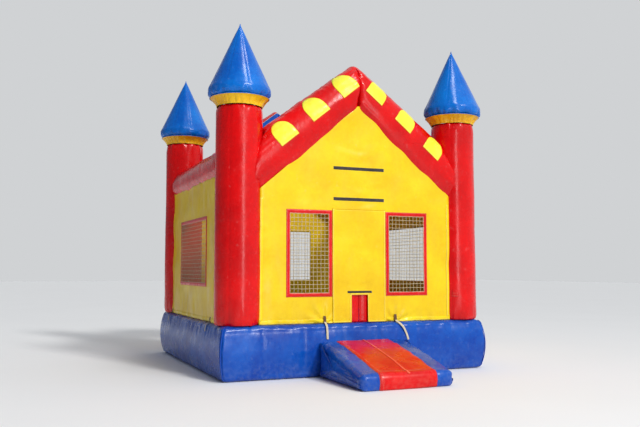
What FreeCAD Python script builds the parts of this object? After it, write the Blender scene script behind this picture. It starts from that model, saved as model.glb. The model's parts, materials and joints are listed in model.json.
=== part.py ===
import FreeCAD, Part
import math
import os

import Sketcher

# Inflatable bounce house: a castle-shaped room of inflated columns, gables and eaves standing on a
# square air mattress.  X runs to the right, the entrance faces -Y, +Z is up, and the origin is the
# centre of the mattress footprint on the ground.  Every inflated piece is a closed hollow shell.

SIZES = [
    ("base_size", 3960, "side of the square mattress at its widest"),
    ("base_height", 700, "mattress top above the ground"),
    ("base_bulge", 100, "flat top and bottom end this far in from the widest mattress side"),
    ("base_swell", 15, "how far each mattress side swells past its shoulders"),
    ("base_shoulder", 77, "height of a shoulder, where the side turns into the rounded edge"),
    ("base_edge_curve", 86, "rounding of the mattress's upper and lower edges"),
    ("skin", 6, "stand-in thickness of an inflated skin"),
    ("seam_gap", 0.4, "clearance between sewn neighbours with curved faces"),
    ("column_inset", 319, "column centre in from the widest mattress side"),
    ("column_radius", 313, "corner column"),
    ("column_top", 3572, "top of a column above the ground"),
    ("collar_rise", 118, "height of the gathered collar"),
    ("collar_flare", 400, "collar radius at its top seam"),
    ("collar_curve", 220, "radius of the collar's hollow profile"),
    ("spire_rise", 1030, "spire height above the collar seam"),
    ("spire_taper", 0.46, "spire radius lost per unit of height"),
    ("spire_shoulder", 180, "height of the rounded lowest part of the spire"),
    ("spire_curve", 270, "profile radius of that rounded part"),
    ("gable_ridge_axis", 3951, "axis height of the gable tubes where they meet"),
    ("gable_foot_axis", 2611, "axis height of the gable tubes at the column centres"),
    ("gable_ridge_half", 310, "half thickness of a gable tube at the ridge"),
    ("gable_foot_half", 390, "half thickness of a gable tube at the column"),
    ("gable_half_width", 290, "half width of a gable tube, front to rear"),
    ("gable_overrun", 300, "length of a gable tube past its ridge before the mitre"),
    ("eave_axis", 2833, "axis height of the side eave tubes"),
    ("eave_radius", 267, "side eave tube"),
    ("wall_offset", 219, "wall face outward of the column centres"),
    ("panel", 6, "stand-in thickness of a wall panel"),
    ("front_window_width", 665, "over the border"),
    ("front_window_height", 1170, "over the border"),
    ("front_window_sill", 1055, "border's lower edge above the ground"),
    ("front_window_side", 405, "inner edge of the border from the middle"),
    ("wide_window_width", 1680, "over the border, side and rear walls"),
    ("wide_window_height", 1000, "over the border, side and rear walls"),
    ("wide_window_sill", 1180, "border's lower edge above the ground"),
    ("border_width", 55, "sewn window border"),
    ("border_thickness", 4, "sewn window border"),
    ("net_pitch", 57, "knot to knot of the window netting"),
    ("net_cord", 8, "width of a netting cord"),
    ("net_thickness", 3, "thickness of the netting"),
    ("door_width", 740, "doorway in the front wall"),
    ("door_rise", 1500, "doorway height above the mattress"),
    ("flap_width", 800, "entrance flap"),
    ("flap_top", 2250, "hinge line of the entrance flap above the ground"),
    ("flap_thickness", 4, "entrance flap"),
    ("flap_hem", 15, "diameter of the flap's rolled top hem"),
    ("flap_clear", 5, "flap's lower edge above the mattress"),
    ("notch_width", 250, "notch in the middle of the flap's lower edge"),
    ("notch_rise", 375, "height of that notch above the mattress"),
    ("curtain_thickness", 3, "inner entrance curtains"),
    ("curtain_hem", 9.4, "diameter of a curtain's hinge hem"),
    ("curtain_lap", 12, "how far each curtain reaches past the doorway edge"),
    ("curtain_slit", 6, "slit between the two curtains"),
    ("banner_length", 770, "hook-and-loop strips on the front wall"),
    ("banner_width", 45, "hook-and-loop strips"),
    ("banner_thickness", 3, "hook-and-loop strips"),
    ("banner_low", 2385, "lower strip above the ground"),
    ("banner_high", 2810, "upper strip above the ground"),
    ("door_strip_length", 365, "hook-and-loop strip on the flap"),
    ("door_strip_width", 30, "hook-and-loop strip on the flap"),
    ("door_strip_up", 1115, "hook-and-loop strip on the flap, above the ground"),
    ("patch_width", 310, "arched patches on the front gable"),
    ("patch_base", 20, "flat edge of a patch above the tube axis"),
    ("patch_straight", 110, "straight sides of a patch"),
    ("patch_thickness", 3, "sewn patches and stripes"),
    ("patch_spacing", 580, "patch to patch along the slope"),
    ("patch_first_left", 155, "first patch centre from the ridge, left slope"),
    ("patch_first_right", 245, "first patch centre from the ridge, right slope"),
    ("stripe_low", 165, "rear gable stripe above the tube axis"),
    ("stripe_high", 262, "rear gable stripe above the tube axis"),
    ("stripe_length", 1500, "rear gable stripe along the slope"),
    ("ramp_width", 1280, "entrance ramp"),
    ("ramp_length", 1250, "ramp out from the widest mattress side"),
    ("ramp_back", 475, "ramp height at the mattress"),
    ("ramp_front", 205, "ramp height at its front end"),
    ("ramp_nose", 90, "rounding of the ramp's front end"),
    ("ramp_crown", 9000, "radius of the ramp's gently swollen top"),
    ("ramp_root", 120, "ramp length that the mattress side trims away"),
    ("tread_width", 790, "red strip up the middle of the ramp"),
    ("tread_thickness", 3, "red strip"),
    ("webbing_width", 38, "tie straps"),
    ("webbing", 3, "thickness of the webbing"),
    ("loop_height", 45, "stitched loops at the wall hems"),
    ("ramp_strap_left", -520, "left ramp strap from the middle"),
    ("ramp_strap_right", 700, "right ramp strap from the middle"),
    ("hem_loop_left", -520, "left loop on the front wall's hem, from the middle"),
    ("hem_loop_right", 550, "right loop on the front wall's hem, from the middle"),
    ("side_strap_front", -1100, "front strap of the left side"),
    ("side_strap_rear", 47.4, "rear strap of the left side, in from the rear column's edge"),
    ("side_strap_drop", 110, "length of a side strap below the mattress top"),
    ("baffle_count", 6, "fabric baffles inside the mattress"),
    ("ring_wire", 4, "radius of the anchor ring's wire"),
    ("ring_radius", 25, "centre-line radius of the anchor ring's bow"),
    ("ring_height", 95, "hinge bar of the anchor rings above the ground"),
    ("ring_running", 0.3, "running clearance of the bar in its webbing"),
    ("tab_width", 34, "anchor tabs"),
    ("tab_height", 130, "anchor tabs above the ring bar"),
    ("anchor_rear", 1560, "rear anchors from the middle"),
    ("anchor_side", 1500, "right side anchors from the middle"),
    ("sleeve_bore", 140, "inner radius of the blower sleeve"),
    ("sleeve_wall", 3, "blower sleeve"),
    ("sleeve_length", 900, "blower sleeve out from the widest mattress side"),
    ("sleeve_side", 1000, "blower sleeve to the right of the middle"),
    ("sleeve_up", 260, "blower sleeve's axis above the ground"),
    ("sleeve_patch", 172, "outer radius of the patch that sews the sleeve to the mattress"),
    ("sleeve_patch_thickness", 6, "that patch in front of the mattress's widest line"),
    ("sleeve_strap_back", 120, "sleeve strap back from the sleeve's mouth"),
    ("zip_middle", -700, "zipper's middle from the house's middle"),
    ("zip_length", 900, "zipper tape"),
    ("zip_width", 36, "zipper tape"),
    ("zip_tape", 2, "thickness of the zipper tape"),
    ("slider_length", 22, "zipper slider along the tape"),
    ("slider_height", 18, "zipper slider across the tape"),
    ("slider_depth", 6, "zipper slider"),
    ("pull_length", 34, "zipper pull"),
    ("pull_width", 8, "zipper pull"),
    ("pull_thickness", 1.5, "zipper pull"),
    ("cover_hem", 22, "diameter of the zipper cover's hinge hem"),
    ("cover_above", 65, "cover's hinge line above the zipper"),
    ("cover_drop", 130, "zipper cover, hinge line to lower edge"),
    ("cover_thickness", 3, "zipper cover"),
]

doc = FreeCAD.newDocument("bounce_house")
sheet = doc.addObject("Spreadsheet::Sheet", "sizes")
for row, (alias, value, note) in enumerate(SIZES, start=1):
    sheet.set(f"A{row}", alias)
    sheet.set(f"B{row}", str(value))
    sheet.setAlias(f"B{row}", alias)
    sheet.set(f"C{row}", note)
doc.recompute()

# Expressions that several pieces share.
COLUMN_AT = "(sizes.base_size / 2 - sizes.column_inset)"
WALL_FACE = f"({COLUMN_AT} + sizes.wall_offset)"
COLUMN_EDGE = f"({COLUMN_AT} - sqrt(sizes.column_radius ^ 2 - sizes.wall_offset ^ 2))"
SIDE_STRAPS = {"front": "sizes.side_strap_front", "rear": f"({COLUMN_EDGE} - sizes.side_strap_rear)"}
SLOPE = f"atan((sizes.gable_ridge_axis - sizes.gable_foot_axis) / {COLUMN_AT})"
SLOPE_RUN = f"({COLUMN_AT} / cos({SLOPE}))"
COLLAR_TOP = "(sizes.column_top + sizes.collar_rise)"
SPIRE_TIP = f"({COLLAR_TOP} + sizes.spire_rise)"
SIDE_HALF = "(sizes.base_height / 2 - sizes.base_shoulder)"
SIDE_CURVE = f"(({SIDE_HALF} ^ 2 + sizes.base_swell ^ 2) / (2 * sizes.base_swell))"
RAMP_FRONT_AT = "(-sizes.base_size / 2 - sizes.ramp_length)"

X_AXIS = FreeCAD.Vector(1, 0, 0)
Y_AXIS = FreeCAD.Vector(0, 1, 0)
Z_AXIS = FreeCAD.Vector(0, 0, 1)
TURN_TO_X = FreeCAD.Rotation(Y_AXIS, 90)
TURN_TO_Y = FreeCAD.Rotation(X_AXIS, -90)

CORNERS = {
    "front_left": (-1, -1),
    "front_right": (1, -1),
    "rear_left": (-1, 1),
    "rear_right": (1, 1),
}

parts = {}


def value_of(expression):
    """The number that an expression gives now."""
    result = sheet.evalExpression(str(expression))
    return float(getattr(result, "Value", result))


def bind(thing, **expressions):
    """Tie properties of an object to the sheet; a double underscore stands for a dot."""
    for path, expression in expressions.items():
        thing.setExpression(path.replace("__", "."), str(expression))


def place(thing, across=None, along=None, up=None):
    """Tie an object's position to the sheet."""
    for letter, expression in (("x", across), ("y", along), ("z", up)):
        if expression is not None:
            thing.setExpression(f"Placement.Base.{letter}", str(expression))
    return thing


def keep(name, thing):
    """Name a finished sub-part."""
    thing.Label = name
    parts[name] = thing
    return thing


def box(name, width, depth, height, left, front, bottom):
    """A box from its lower corner, all sizes as expressions."""
    thing = doc.addObject("Part::Box", name)
    bind(thing, Length=width, Width=depth, Height=height)
    return place(thing, left, front, bottom)


def cylinder(name, radius, length, across, along, up, rotation=None):
    thing = doc.addObject("Part::Cylinder", name)
    if rotation is not None:
        thing.Placement = FreeCAD.Placement(FreeCAD.Vector(), rotation)
    bind(thing, Radius=radius, Height=length)
    return place(thing, across, along, up)


def cut(name, base, *tools):
    for number, tool in enumerate(tools):
        thing = doc.addObject("Part::Cut", f"{name}_{number}")
        thing.Base = base
        thing.Tool = tool
        base = thing
    return base


def common(name, first, second):
    thing = doc.addObject("Part::Common", name)
    thing.Base = first
    thing.Tool = second
    return thing


def fuse(name, *pieces):
    thing = doc.addObject("Part::MultiFuse", name)
    thing.Shapes = list(pieces)
    return thing


def group(name, pieces):
    """Separate solids that share one node."""
    thing = doc.addObject("Part::Compound", name)
    thing.Links = list(pieces)
    return thing


def sketch_on(body, role):
    sketch = body.newObject("Sketcher::SketchObject", f"{body.Name}_sketch")
    plane = next(item for item in body.Origin.OriginFeatures if item.Role == role)
    sketch.AttachmentSupport = [(plane, "")]
    sketch.MapMode = "FlatFace"
    return sketch


def dimension(sketch, kind, places, expression, name):
    value = value_of(expression)
    number = sketch.addConstraint(Sketcher.Constraint(kind, *places, value))
    sketch.renameConstraint(number, name)
    sketch.setExpression(f"Constraints.{name}", str(expression))


def arc_between(start, end, radius, side):
    """A short arc from start to end, bowed to the left (side 1) or the right (side -1) of the way."""
    chord = end - start
    middle = (start + end) * 0.5
    normal = FreeCAD.Vector(-chord.y, chord.x, 0).normalize() * side
    rise = radius - math.sqrt(max(radius ** 2 - (chord.Length / 2) ** 2, 0))
    return Part.Arc(start, middle + normal * rise, end)


def outline(sketch, corners, bows=None):
    """A closed outline through corners given as expressions; bows turns some edges into arcs."""
    bows = bows or {}
    points = [FreeCAD.Vector(value_of(across), value_of(up), 0) for across, up in corners]
    ends = []
    for number, start in enumerate(points):
        end = points[(number + 1) % len(points)]
        if number in bows:
            radius, side = bows[number]
            edge = sketch.addGeometry(arc_between(start, end, value_of(radius), side), False)
            at_start = (sketch.getPoint(edge, 1) - start).Length < 1e-4
            ends.append((edge, 1, 2) if at_start else (edge, 2, 1))
        else:
            edge = sketch.addGeometry(Part.LineSegment(start, end), False)
            ends.append((edge, 1, 2))
    for number, (edge, first, last) in enumerate(ends):
        following, next_first, _ = ends[(number + 1) % len(ends)]
        sketch.addConstraint(Sketcher.Constraint("Coincident", edge, last, following, next_first))
    first_number = sketch.ConstraintCount
    for number, ((across, up), (edge, first, _)) in enumerate(zip(corners, ends)):
        dimension(sketch, "DistanceX", (-1, 1, edge, first), across, f"x{first_number}_{number}")
        dimension(sketch, "DistanceY", (-1, 1, edge, first), up, f"y{first_number}_{number}")
    for number, (radius, _) in bows.items():
        dimension(sketch, "Radius", (ends[number][0],), radius, f"bow{first_number}_{number}")


def rectangle(left, low, width, height):
    """Corner expressions of an upright rectangle."""
    right = f"({left} + {width})"
    top = f"({low} + {height})"
    return [(left, low), (right, low), (right, top), (left, top)]


def padded(name, role, length, corners, bows=None, midplane=True):
    """A body made by padding one outline."""
    body = doc.addObject("PartDesign::Body", name)
    sketch = sketch_on(body, role)
    outline(sketch, corners, bows)
    pad = body.newObject("PartDesign::Pad", f"{name}_pad")
    pad.Profile = sketch
    pad.Midplane = midplane
    bind(pad, Length=length)
    return body


def turned(name, corners, bows=None):
    """A body made by turning one outline about the body's own Z axis."""
    body = doc.addObject("PartDesign::Body", name)
    sketch = sketch_on(body, "XZ_Plane")
    outline(sketch, corners, bows)
    revolution = body.newObject("PartDesign::Revolution", f"{name}_turn")
    revolution.Profile = sketch
    revolution.ReferenceAxis = (sketch, ["V_Axis"])
    revolution.Angle = 360
    return body


# ---------------------------------------------------------------------------------------------
# Mattress
# ---------------------------------------------------------------------------------------------

def side_at(up):
    """Distance of the swollen mattress side from the middle, at a height."""
    rise = f"(({up}) - sizes.base_height / 2)"
    return f"(sizes.base_size / 2 - {SIDE_CURVE} + sqrt({SIDE_CURVE} ^ 2 - {rise} ^ 2))"


def mattress_block(name, grow):
    """The mattress's outer shape, grown or shrunk: two rounded prisms crossing at right angles."""
    edge = "(sizes.base_size / 2 - sizes.base_bulge)"
    side = f"(sizes.base_size / 2 - sizes.base_swell + {grow})"
    low = f"(-({grow}))"
    high = f"(sizes.base_height + {grow})"
    lower = "sizes.base_shoulder"
    upper = "(sizes.base_height - sizes.base_shoulder)"
    corners = [(f"-{edge}", low), (edge, low), (side, lower), (side, upper),
               (edge, high), (f"-{edge}", high), (f"-{side}", upper), (f"-{side}", lower)]
    rounding = (f"(sizes.base_edge_curve + {grow})", -1)
    swell = (SIDE_CURVE, -1)
    bows = {1: rounding, 2: swell, 3: rounding, 5: rounding, 6: swell, 7: rounding}
    length = "sizes.base_size + 200"
    across = padded(f"{name}_across", "YZ_Plane", length, corners, bows)
    along = padded(f"{name}_along", "XZ_Plane", length, corners, bows)
    return common(name, across, along)


mattress_cutter = mattress_block("mattress_cutter", "sizes.seam_gap")
webbing_layer = cut(
    "webbing_layer",
    mattress_block("webbing_outside", "sizes.seam_gap + sizes.webbing"),
    mattress_cutter,
)


def make_mattress():
    chamber = mattress_block("mattress_chamber", "-sizes.skin")
    keep("base_mattress", cut("mattress", mattress_block("mattress_outside", "0"), chamber))
    count = int(value_of("sizes.baffle_count"))
    length = "(sizes.base_size - 2 * sizes.base_bulge - 8 * sizes.skin)"
    baffles = []
    for number in range(count):
        step = f"(sizes.base_size / {count + 1})"
        baffles.append(box(
            f"baffle_{number}", "sizes.skin", length, "sizes.base_height - 2 * sizes.skin",
            f"-sizes.base_size / 2 + {step} * {number + 1} - sizes.skin / 2",
            f"-{length} / 2", "sizes.skin",
        ))
    keep("base_baffles", group("baffles", baffles))


# ---------------------------------------------------------------------------------------------
# Towers: column, collar and spire
# ---------------------------------------------------------------------------------------------

def column_cutters(name, grow):
    """The four columns' outsides, grown, as one tool."""
    pieces = []
    for corner, (right, rear) in CORNERS.items():
        pieces.append(cylinder(
            f"{name}_{corner}", f"sizes.column_radius + {grow}", SPIRE_TIP,
            f"{right} * {COLUMN_AT}", f"{rear} * {COLUMN_AT}", "0",
        ))
    return fuse(name, *pieces)


def make_column(corner, right, rear):
    place_x = f"{right} * {COLUMN_AT}"
    place_y = f"{rear} * {COLUMN_AT}"
    outside = cylinder(
        f"column_{corner}_outside", "sizes.column_radius", "sizes.column_top - sizes.base_height",
        place_x, place_y, "sizes.base_height",
    )
    chamber = cylinder(
        f"column_{corner}_chamber", "sizes.column_radius - sizes.skin",
        "sizes.column_top - sizes.base_height - 2 * sizes.skin",
        place_x, place_y, "sizes.base_height + sizes.skin",
    )
    keep(f"column_{corner}", cut(f"column_{corner}", outside, chamber))


def make_collar(corner, right, rear):
    low, high = "sizes.column_top", COLLAR_TOP
    corners = [
        ("sizes.column_radius - sizes.skin", low),
        ("sizes.column_radius", low),
        ("sizes.collar_flare", high),
        ("sizes.collar_flare - sizes.skin", high),
    ]
    bows = {
        1: ("sizes.collar_curve", -1),
        3: ("sizes.collar_curve + sizes.skin", 1),
    }
    body = turned(f"collar_{corner}_body", corners, bows)
    place(body, f"{right} * {COLUMN_AT}", f"{rear} * {COLUMN_AT}")
    keep(f"collar_{corner}", body)


def make_spire(corner, right, rear):
    shoulder = f"({COLLAR_TOP} + sizes.spire_shoulder)"
    shoulder_radius = f"((sizes.spire_rise - sizes.spire_shoulder) * sizes.spire_taper)"
    inner_tip = f"({SPIRE_TIP} - sizes.skin * sqrt(1 + 1 / sizes.spire_taper ^ 2))"
    corners = [
        ("0", COLLAR_TOP),
        ("sizes.collar_flare - 2", COLLAR_TOP),
        (shoulder_radius, shoulder),
        ("0", SPIRE_TIP),
        ("0", inner_tip),
        (f"({shoulder_radius} - sizes.skin * sqrt(1 + sizes.spire_taper ^ 2))", shoulder),
        ("sizes.collar_flare - 2 - sizes.skin", f"{COLLAR_TOP} + sizes.skin"),
        ("0", f"{COLLAR_TOP} + sizes.skin"),
    ]
    bows = {1: ("sizes.spire_curve", -1), 5: ("sizes.spire_curve - sizes.skin", 1)}
    body = turned(f"spire_{corner}_body", corners, bows)
    place(body, f"{right} * {COLUMN_AT}", f"{rear} * {COLUMN_AT}")
    keep(f"spire_{corner}", body)


column_cutter = column_cutters("column_cutter", "sizes.seam_gap")
column_inner_cutter = column_cutters("column_inner_cutter", "(sizes.seam_gap + sizes.skin)")


# ---------------------------------------------------------------------------------------------
# Gable and eave tubes
# ---------------------------------------------------------------------------------------------

def on_slope(right, rear, travel, across="0", above="0"):
    """Position expressions of a point given along, in front of and above a gable tube's axis."""
    return (
        f"{right} * (({travel}) * cos({SLOPE}) + ({above}) * sin({SLOPE}))",
        f"{rear} * {COLUMN_AT} + {across}",
        f"sizes.gable_ridge_axis - ({travel}) * sin({SLOPE}) + ({above}) * cos({SLOPE})",
    )


def slope_loft(name, right, rear, grow):
    """One gable tube before its mitre: an oval that thickens from the ridge down to the column."""
    ovals = []
    for end, travel in (("top", "-sizes.gable_overrun"), ("foot", SLOPE_RUN)):
        oval = doc.addObject("Part::Ellipse", f"{name}_{end}")
        half = (
            f"sizes.gable_ridge_half + (sizes.gable_foot_half - sizes.gable_ridge_half)"
            f" * ({travel}) / {SLOPE_RUN} + {grow}"
        )
        oval.Placement = FreeCAD.Placement(FreeCAD.Vector(), FreeCAD.Rotation(Y_AXIS * right, 90))
        bind(oval, MajorRadius=half, MinorRadius=f"sizes.gable_half_width + {grow}")
        oval.setExpression("Placement.Rotation.Angle", f"90 deg + {SLOPE}")
        place(oval, *on_slope(right, rear, travel))
        ovals.append(oval)
    loft = doc.addObject("Part::Loft", name)
    loft.Sections = ovals
    loft.Solid = True
    loft.Ruled = True
    return loft


def half_room(name, right, inset):
    """The left or right half of space, from a mitre plane set back from the middle."""
    start = inset if right > 0 else f"-sizes.base_size - {inset}"
    return box(name, "sizes.base_size", "2 * sizes.base_size", "2 * sizes.column_top",
               start, "-sizes.base_size", "0")


slope_cutters = {}
slope_inner_cutters = {}
for corner, (right, rear) in CORNERS.items():
    slope_cutters[corner] = slope_loft(f"slope_cutter_{corner}", right, rear, "sizes.seam_gap")
    slope_inner_cutters[corner] = slope_loft(
        f"slope_inner_cutter_{corner}", right, rear, "(sizes.seam_gap + sizes.skin)")


def make_gable(corner, right, rear):
    name = f"gable_{corner}"
    outside = common(
        f"{name}_mitred", slope_loft(f"{name}_loft", right, rear, "0"),
        half_room(f"{name}_half", right, "sizes.seam_gap / 2"))
    chamber = common(
        f"{name}_chamber", slope_loft(f"{name}_chamber_loft", right, rear, "-sizes.skin"),
        half_room(f"{name}_chamber_half", right, "(sizes.seam_gap / 2 + sizes.skin)"))
    hollow = cut(f"{name}_hollow", chamber, column_inner_cutter)
    keep(name, cut(name, outside, column_cutter, hollow))


def make_eave(side, right):
    name = f"eave_{side}"
    length = f"2 * {COLUMN_AT}"
    pieces = {}
    for layer, radius in (("outside", "sizes.eave_radius"), ("chamber", "sizes.eave_radius - sizes.skin")):
        pieces[layer] = cylinder(
            f"{name}_{layer}", radius, length,
            f"{right} * {COLUMN_AT}", f"-{COLUMN_AT}", "sizes.eave_axis", TURN_TO_Y)
    ends = (f"front_{side}", f"rear_{side}")
    chamber = cut(f"{name}_hollow", pieces["chamber"], column_inner_cutter,
                  *(slope_inner_cutters[end] for end in ends))
    keep(name, cut(name, pieces["outside"], column_cutter,
                   *(slope_cutters[end] for end in ends), chamber))


# ---------------------------------------------------------------------------------------------
# Walls, window borders and nets
# ---------------------------------------------------------------------------------------------

# Each window: wall, distance of its left edge from the wall's middle, sill, width and height.
FRONT_SIZE = ("sizes.front_window_width", "sizes.front_window_height")
WIDE_SIZE = ("sizes.wide_window_width", "sizes.wide_window_height")
WIDE_PLACE = ("-sizes.wide_window_width / 2", "sizes.wide_window_sill")
WINDOWS = {
    "front_left": ("front", "-sizes.front_window_side - sizes.front_window_width",
                   "sizes.front_window_sill", *FRONT_SIZE),
    "front_right": ("front", "sizes.front_window_side", "sizes.front_window_sill", *FRONT_SIZE),
    "rear": ("rear", *WIDE_PLACE, *WIDE_SIZE),
    "left": ("left", *WIDE_PLACE, *WIDE_SIZE),
    "right": ("right", *WIDE_PLACE, *WIDE_SIZE),
}
# Sketch plane of each wall and the sign of its outward direction.
WALLS = {
    "front": ("XZ_Plane", -1),
    "rear": ("XZ_Plane", 1),
    "left": ("YZ_Plane", -1),
    "right": ("YZ_Plane", 1),
}


def stand_on_wall(thing, wall, depth, thickness):
    """Place a mid-plane pad so that its outer face lies this far outside the wall's outer face."""
    role, outward = WALLS[wall]
    middle = f"{outward} * ({WALL_FACE} + {depth} - ({thickness}) / 2)"
    return place(thing, along=middle) if role == "XZ_Plane" else place(thing, across=middle)


def pocket(body, role, corners, name):
    """Cut one outline right through a padded body."""
    sketch = sketch_on(body, role)
    outline(sketch, corners)
    hole = body.newObject("PartDesign::Pocket", f"{name}_pocket")
    hole.Profile = sketch
    hole.Type = "ThroughAll"
    hole.Midplane = True


def window_opening(window):
    """The hole that a window's border goes round."""
    _, left, low, width, height = WINDOWS[window]
    band = "sizes.border_width"
    return rectangle(f"({left} + {band})", f"({low} + {band})", f"{width} - 2 * {band}",
                     f"{height} - 2 * {band}")


def make_wall(wall):
    role, _ = WALLS[wall]
    gabled = wall in ("front", "rear")
    foot = [(f"-{COLUMN_AT}", "sizes.base_height"), (COLUMN_AT, "sizes.base_height")]
    if gabled:
        head = [(COLUMN_AT, "sizes.gable_foot_axis"), ("0", "sizes.gable_ridge_axis"),
                (f"-{COLUMN_AT}", "sizes.gable_foot_axis")]
    else:
        head = [(COLUMN_AT, "sizes.eave_axis"), (f"-{COLUMN_AT}", "sizes.eave_axis")]
    body = padded(f"wall_{wall}_panel", role, "sizes.panel", foot + head)
    for window, (on_wall, *_) in WINDOWS.items():
        if on_wall == wall:
            pocket(body, role, window_opening(window), f"wall_{window}_window")
    if wall == "front":
        doorway = rectangle("-sizes.door_width / 2", "sizes.base_height - 10",
                            "sizes.door_width", "(sizes.door_rise + 10)")
        pocket(body, role, doorway, "wall_doorway")
    stand_on_wall(body, wall, "0", "sizes.panel")
    if gabled:
        tubes = [slope_cutters[f"{wall}_left"], slope_cutters[f"{wall}_right"]]
    else:
        tubes = [cylinder(f"eave_cutter_{wall}", "sizes.eave_radius + sizes.seam_gap",
                          "sizes.base_size", f"{WALLS[wall][1]} * {COLUMN_AT}",
                          "-sizes.base_size / 2", "sizes.eave_axis", TURN_TO_Y)]
    keep(f"wall_{wall}", cut(f"wall_{wall}_trim", body, column_cutter, *tubes))


def make_window(window):
    wall, left, low, width, height = WINDOWS[window]
    role, _ = WALLS[wall]
    border = padded(f"border_{window}_band", role, "sizes.border_thickness",
                    rectangle(left, low, width, height))
    pocket(border, role, window_opening(window), f"border_{window}")
    stand_on_wall(border, wall, "sizes.border_thickness", "sizes.border_thickness")
    keep(f"window_border_{window}", border)
    keep(f"window_net_{window}", make_net(window))


def make_net(window):
    """Square netting: a thin sheet with a hole for every mesh, inside the border."""
    wall, left, low, width, height = WINDOWS[window]
    _, outward = WALLS[wall]
    inset = value_of("sizes.border_width + sizes.seam_gap")
    cord = value_of("sizes.net_cord")
    start = (value_of(left) + inset, value_of(low) + inset)
    size = (value_of(width) - 2 * inset, value_of(height) - 2 * inset)
    counts = [max(1, round(length / value_of("sizes.net_pitch"))) for length in size]
    pitch = [(length - cord) / count for length, count in zip(size, counts)]
    depth = outward * value_of(f"{WALL_FACE} + sizes.border_thickness")
    thickness = value_of("sizes.net_thickness")

    def loop(across, up, wide, high):
        flat = [(across, up), (across + wide, up), (across + wide, up + high), (across, up + high)]
        if wall in ("front", "rear"):
            points = [FreeCAD.Vector(a, depth, b) for a, b in flat]
        else:
            points = [FreeCAD.Vector(depth, a, b) for a, b in flat]
        return Part.makePolygon(points + points[:1])

    wires = [loop(*start, *size)]
    for column in range(counts[0]):
        for row in range(counts[1]):
            wires.append(loop(start[0] + cord + column * pitch[0], start[1] + cord + row * pitch[1],
                              pitch[0] - cord, pitch[1] - cord))
    inward = FreeCAD.Vector(0, -outward * thickness, 0)
    if wall in ("left", "right"):
        inward = FreeCAD.Vector(-outward * thickness, 0, 0)
    net = doc.addObject("Part::Feature", f"net_{window}")
    sheet_face = Part.makeFace(wires, "Part::FaceMakerBullseye")
    net.Shape = sheet_face.extrude(inward)
    return net


# ---------------------------------------------------------------------------------------------
# Entrance: flap, inner curtains and hook-and-loop strips
# ---------------------------------------------------------------------------------------------

FLAP_AT = f"(-{WALL_FACE} - sizes.seam_gap - sizes.flap_hem / 2)"
CURTAIN_AT = f"(-{WALL_FACE} + sizes.panel + sizes.seam_gap + sizes.curtain_hem / 2)"


def make_door_flap():
    """The flap hangs from a rolled hem, whose centre line is its hinge."""
    low = "(sizes.base_height + sizes.flap_clear)"
    sheet_body = padded(
        "door_flap_sheet", "XZ_Plane", "sizes.flap_thickness",
        rectangle("-sizes.flap_width / 2", low, "sizes.flap_width", f"(sizes.flap_top - {low})"))
    pocket(sheet_body, "XZ_Plane",
           rectangle("-sizes.notch_width / 2", "sizes.base_height", "sizes.notch_width", "sizes.notch_rise"),
           "door_flap_notch")
    place(sheet_body, along=FLAP_AT)
    hem = cylinder("door_flap_hem", "sizes.flap_hem / 2", "sizes.flap_width",
                   "-sizes.flap_width / 2", FLAP_AT, "sizes.flap_top", TURN_TO_X)
    keep("door_flap", fuse("door_flap_whole", sheet_body, hem))
    keep("door_strip", box(
        "door_strip_tape", "sizes.door_strip_length", "sizes.banner_thickness", "sizes.door_strip_width",
        "-sizes.door_strip_length / 2",
        f"{FLAP_AT} - sizes.flap_thickness / 2 - sizes.banner_thickness",
        "sizes.door_strip_up - sizes.door_strip_width / 2"))


def make_curtain(side, right):
    """One half of the inner entrance curtain, hinged at the doorway's edge."""
    name = f"entry_curtain_{side}"
    hinge = f"(sizes.door_width / 2 + sizes.curtain_lap)"
    low = "(sizes.base_height + sizes.flap_clear)"
    height = "(sizes.door_rise - sizes.flap_clear)"
    width = f"({hinge} - sizes.curtain_slit / 2)"
    start = "sizes.curtain_slit / 2" if right > 0 else f"-{hinge}"
    sheet_box = box(f"{name}_sheet", width, "sizes.curtain_thickness", height, start,
                    f"{CURTAIN_AT} - sizes.curtain_thickness / 2", low)
    hem = cylinder(f"{name}_hem", "sizes.curtain_hem / 2", height, f"{right} * {hinge}", CURTAIN_AT, low)
    keep(name, fuse(f"{name}_whole", sheet_box, hem))


def make_banner_strips():
    strips = []
    for level in ("low", "high"):
        strips.append(box(
            f"banner_{level}", "sizes.banner_length", "sizes.banner_thickness", "sizes.banner_width",
            "-sizes.banner_length / 2", f"-{WALL_FACE} - sizes.banner_thickness",
            f"sizes.banner_{level} - sizes.banner_width / 2"))
    keep("banner_strips", group("banners", strips))


# ---------------------------------------------------------------------------------------------
# Sewn decoration on the gable tubes
# ---------------------------------------------------------------------------------------------

def slope_skin(name, right, rear):
    """A thin layer over one mitred gable tube."""
    outer = slope_loft(f"{name}_outer", right, rear, "(sizes.seam_gap + sizes.patch_thickness)")
    layer = cut(f"{name}_layer", outer, slope_cutters[corner_name(right, rear)])
    return common(f"{name}_skin", layer, half_room(f"{name}_half", right, "sizes.seam_gap"))


def corner_name(right, rear):
    return next(name for name, signs in CORNERS.items() if signs == (right, rear))


def slope_frame(right, rear, travel):
    """Placement on a gable tube: local X down the slope, local Y straight up from it."""
    x, y, z = (value_of(text) for text in on_slope(right, rear, travel))
    tilt = value_of(SLOPE)
    down = FreeCAD.Vector(right * math.cos(math.radians(tilt)), 0, -math.sin(math.radians(tilt)))
    above = FreeCAD.Vector(right * math.sin(math.radians(tilt)), 0, math.cos(math.radians(tilt)))
    return FreeCAD.Vector(x, y, z), down, above


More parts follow.
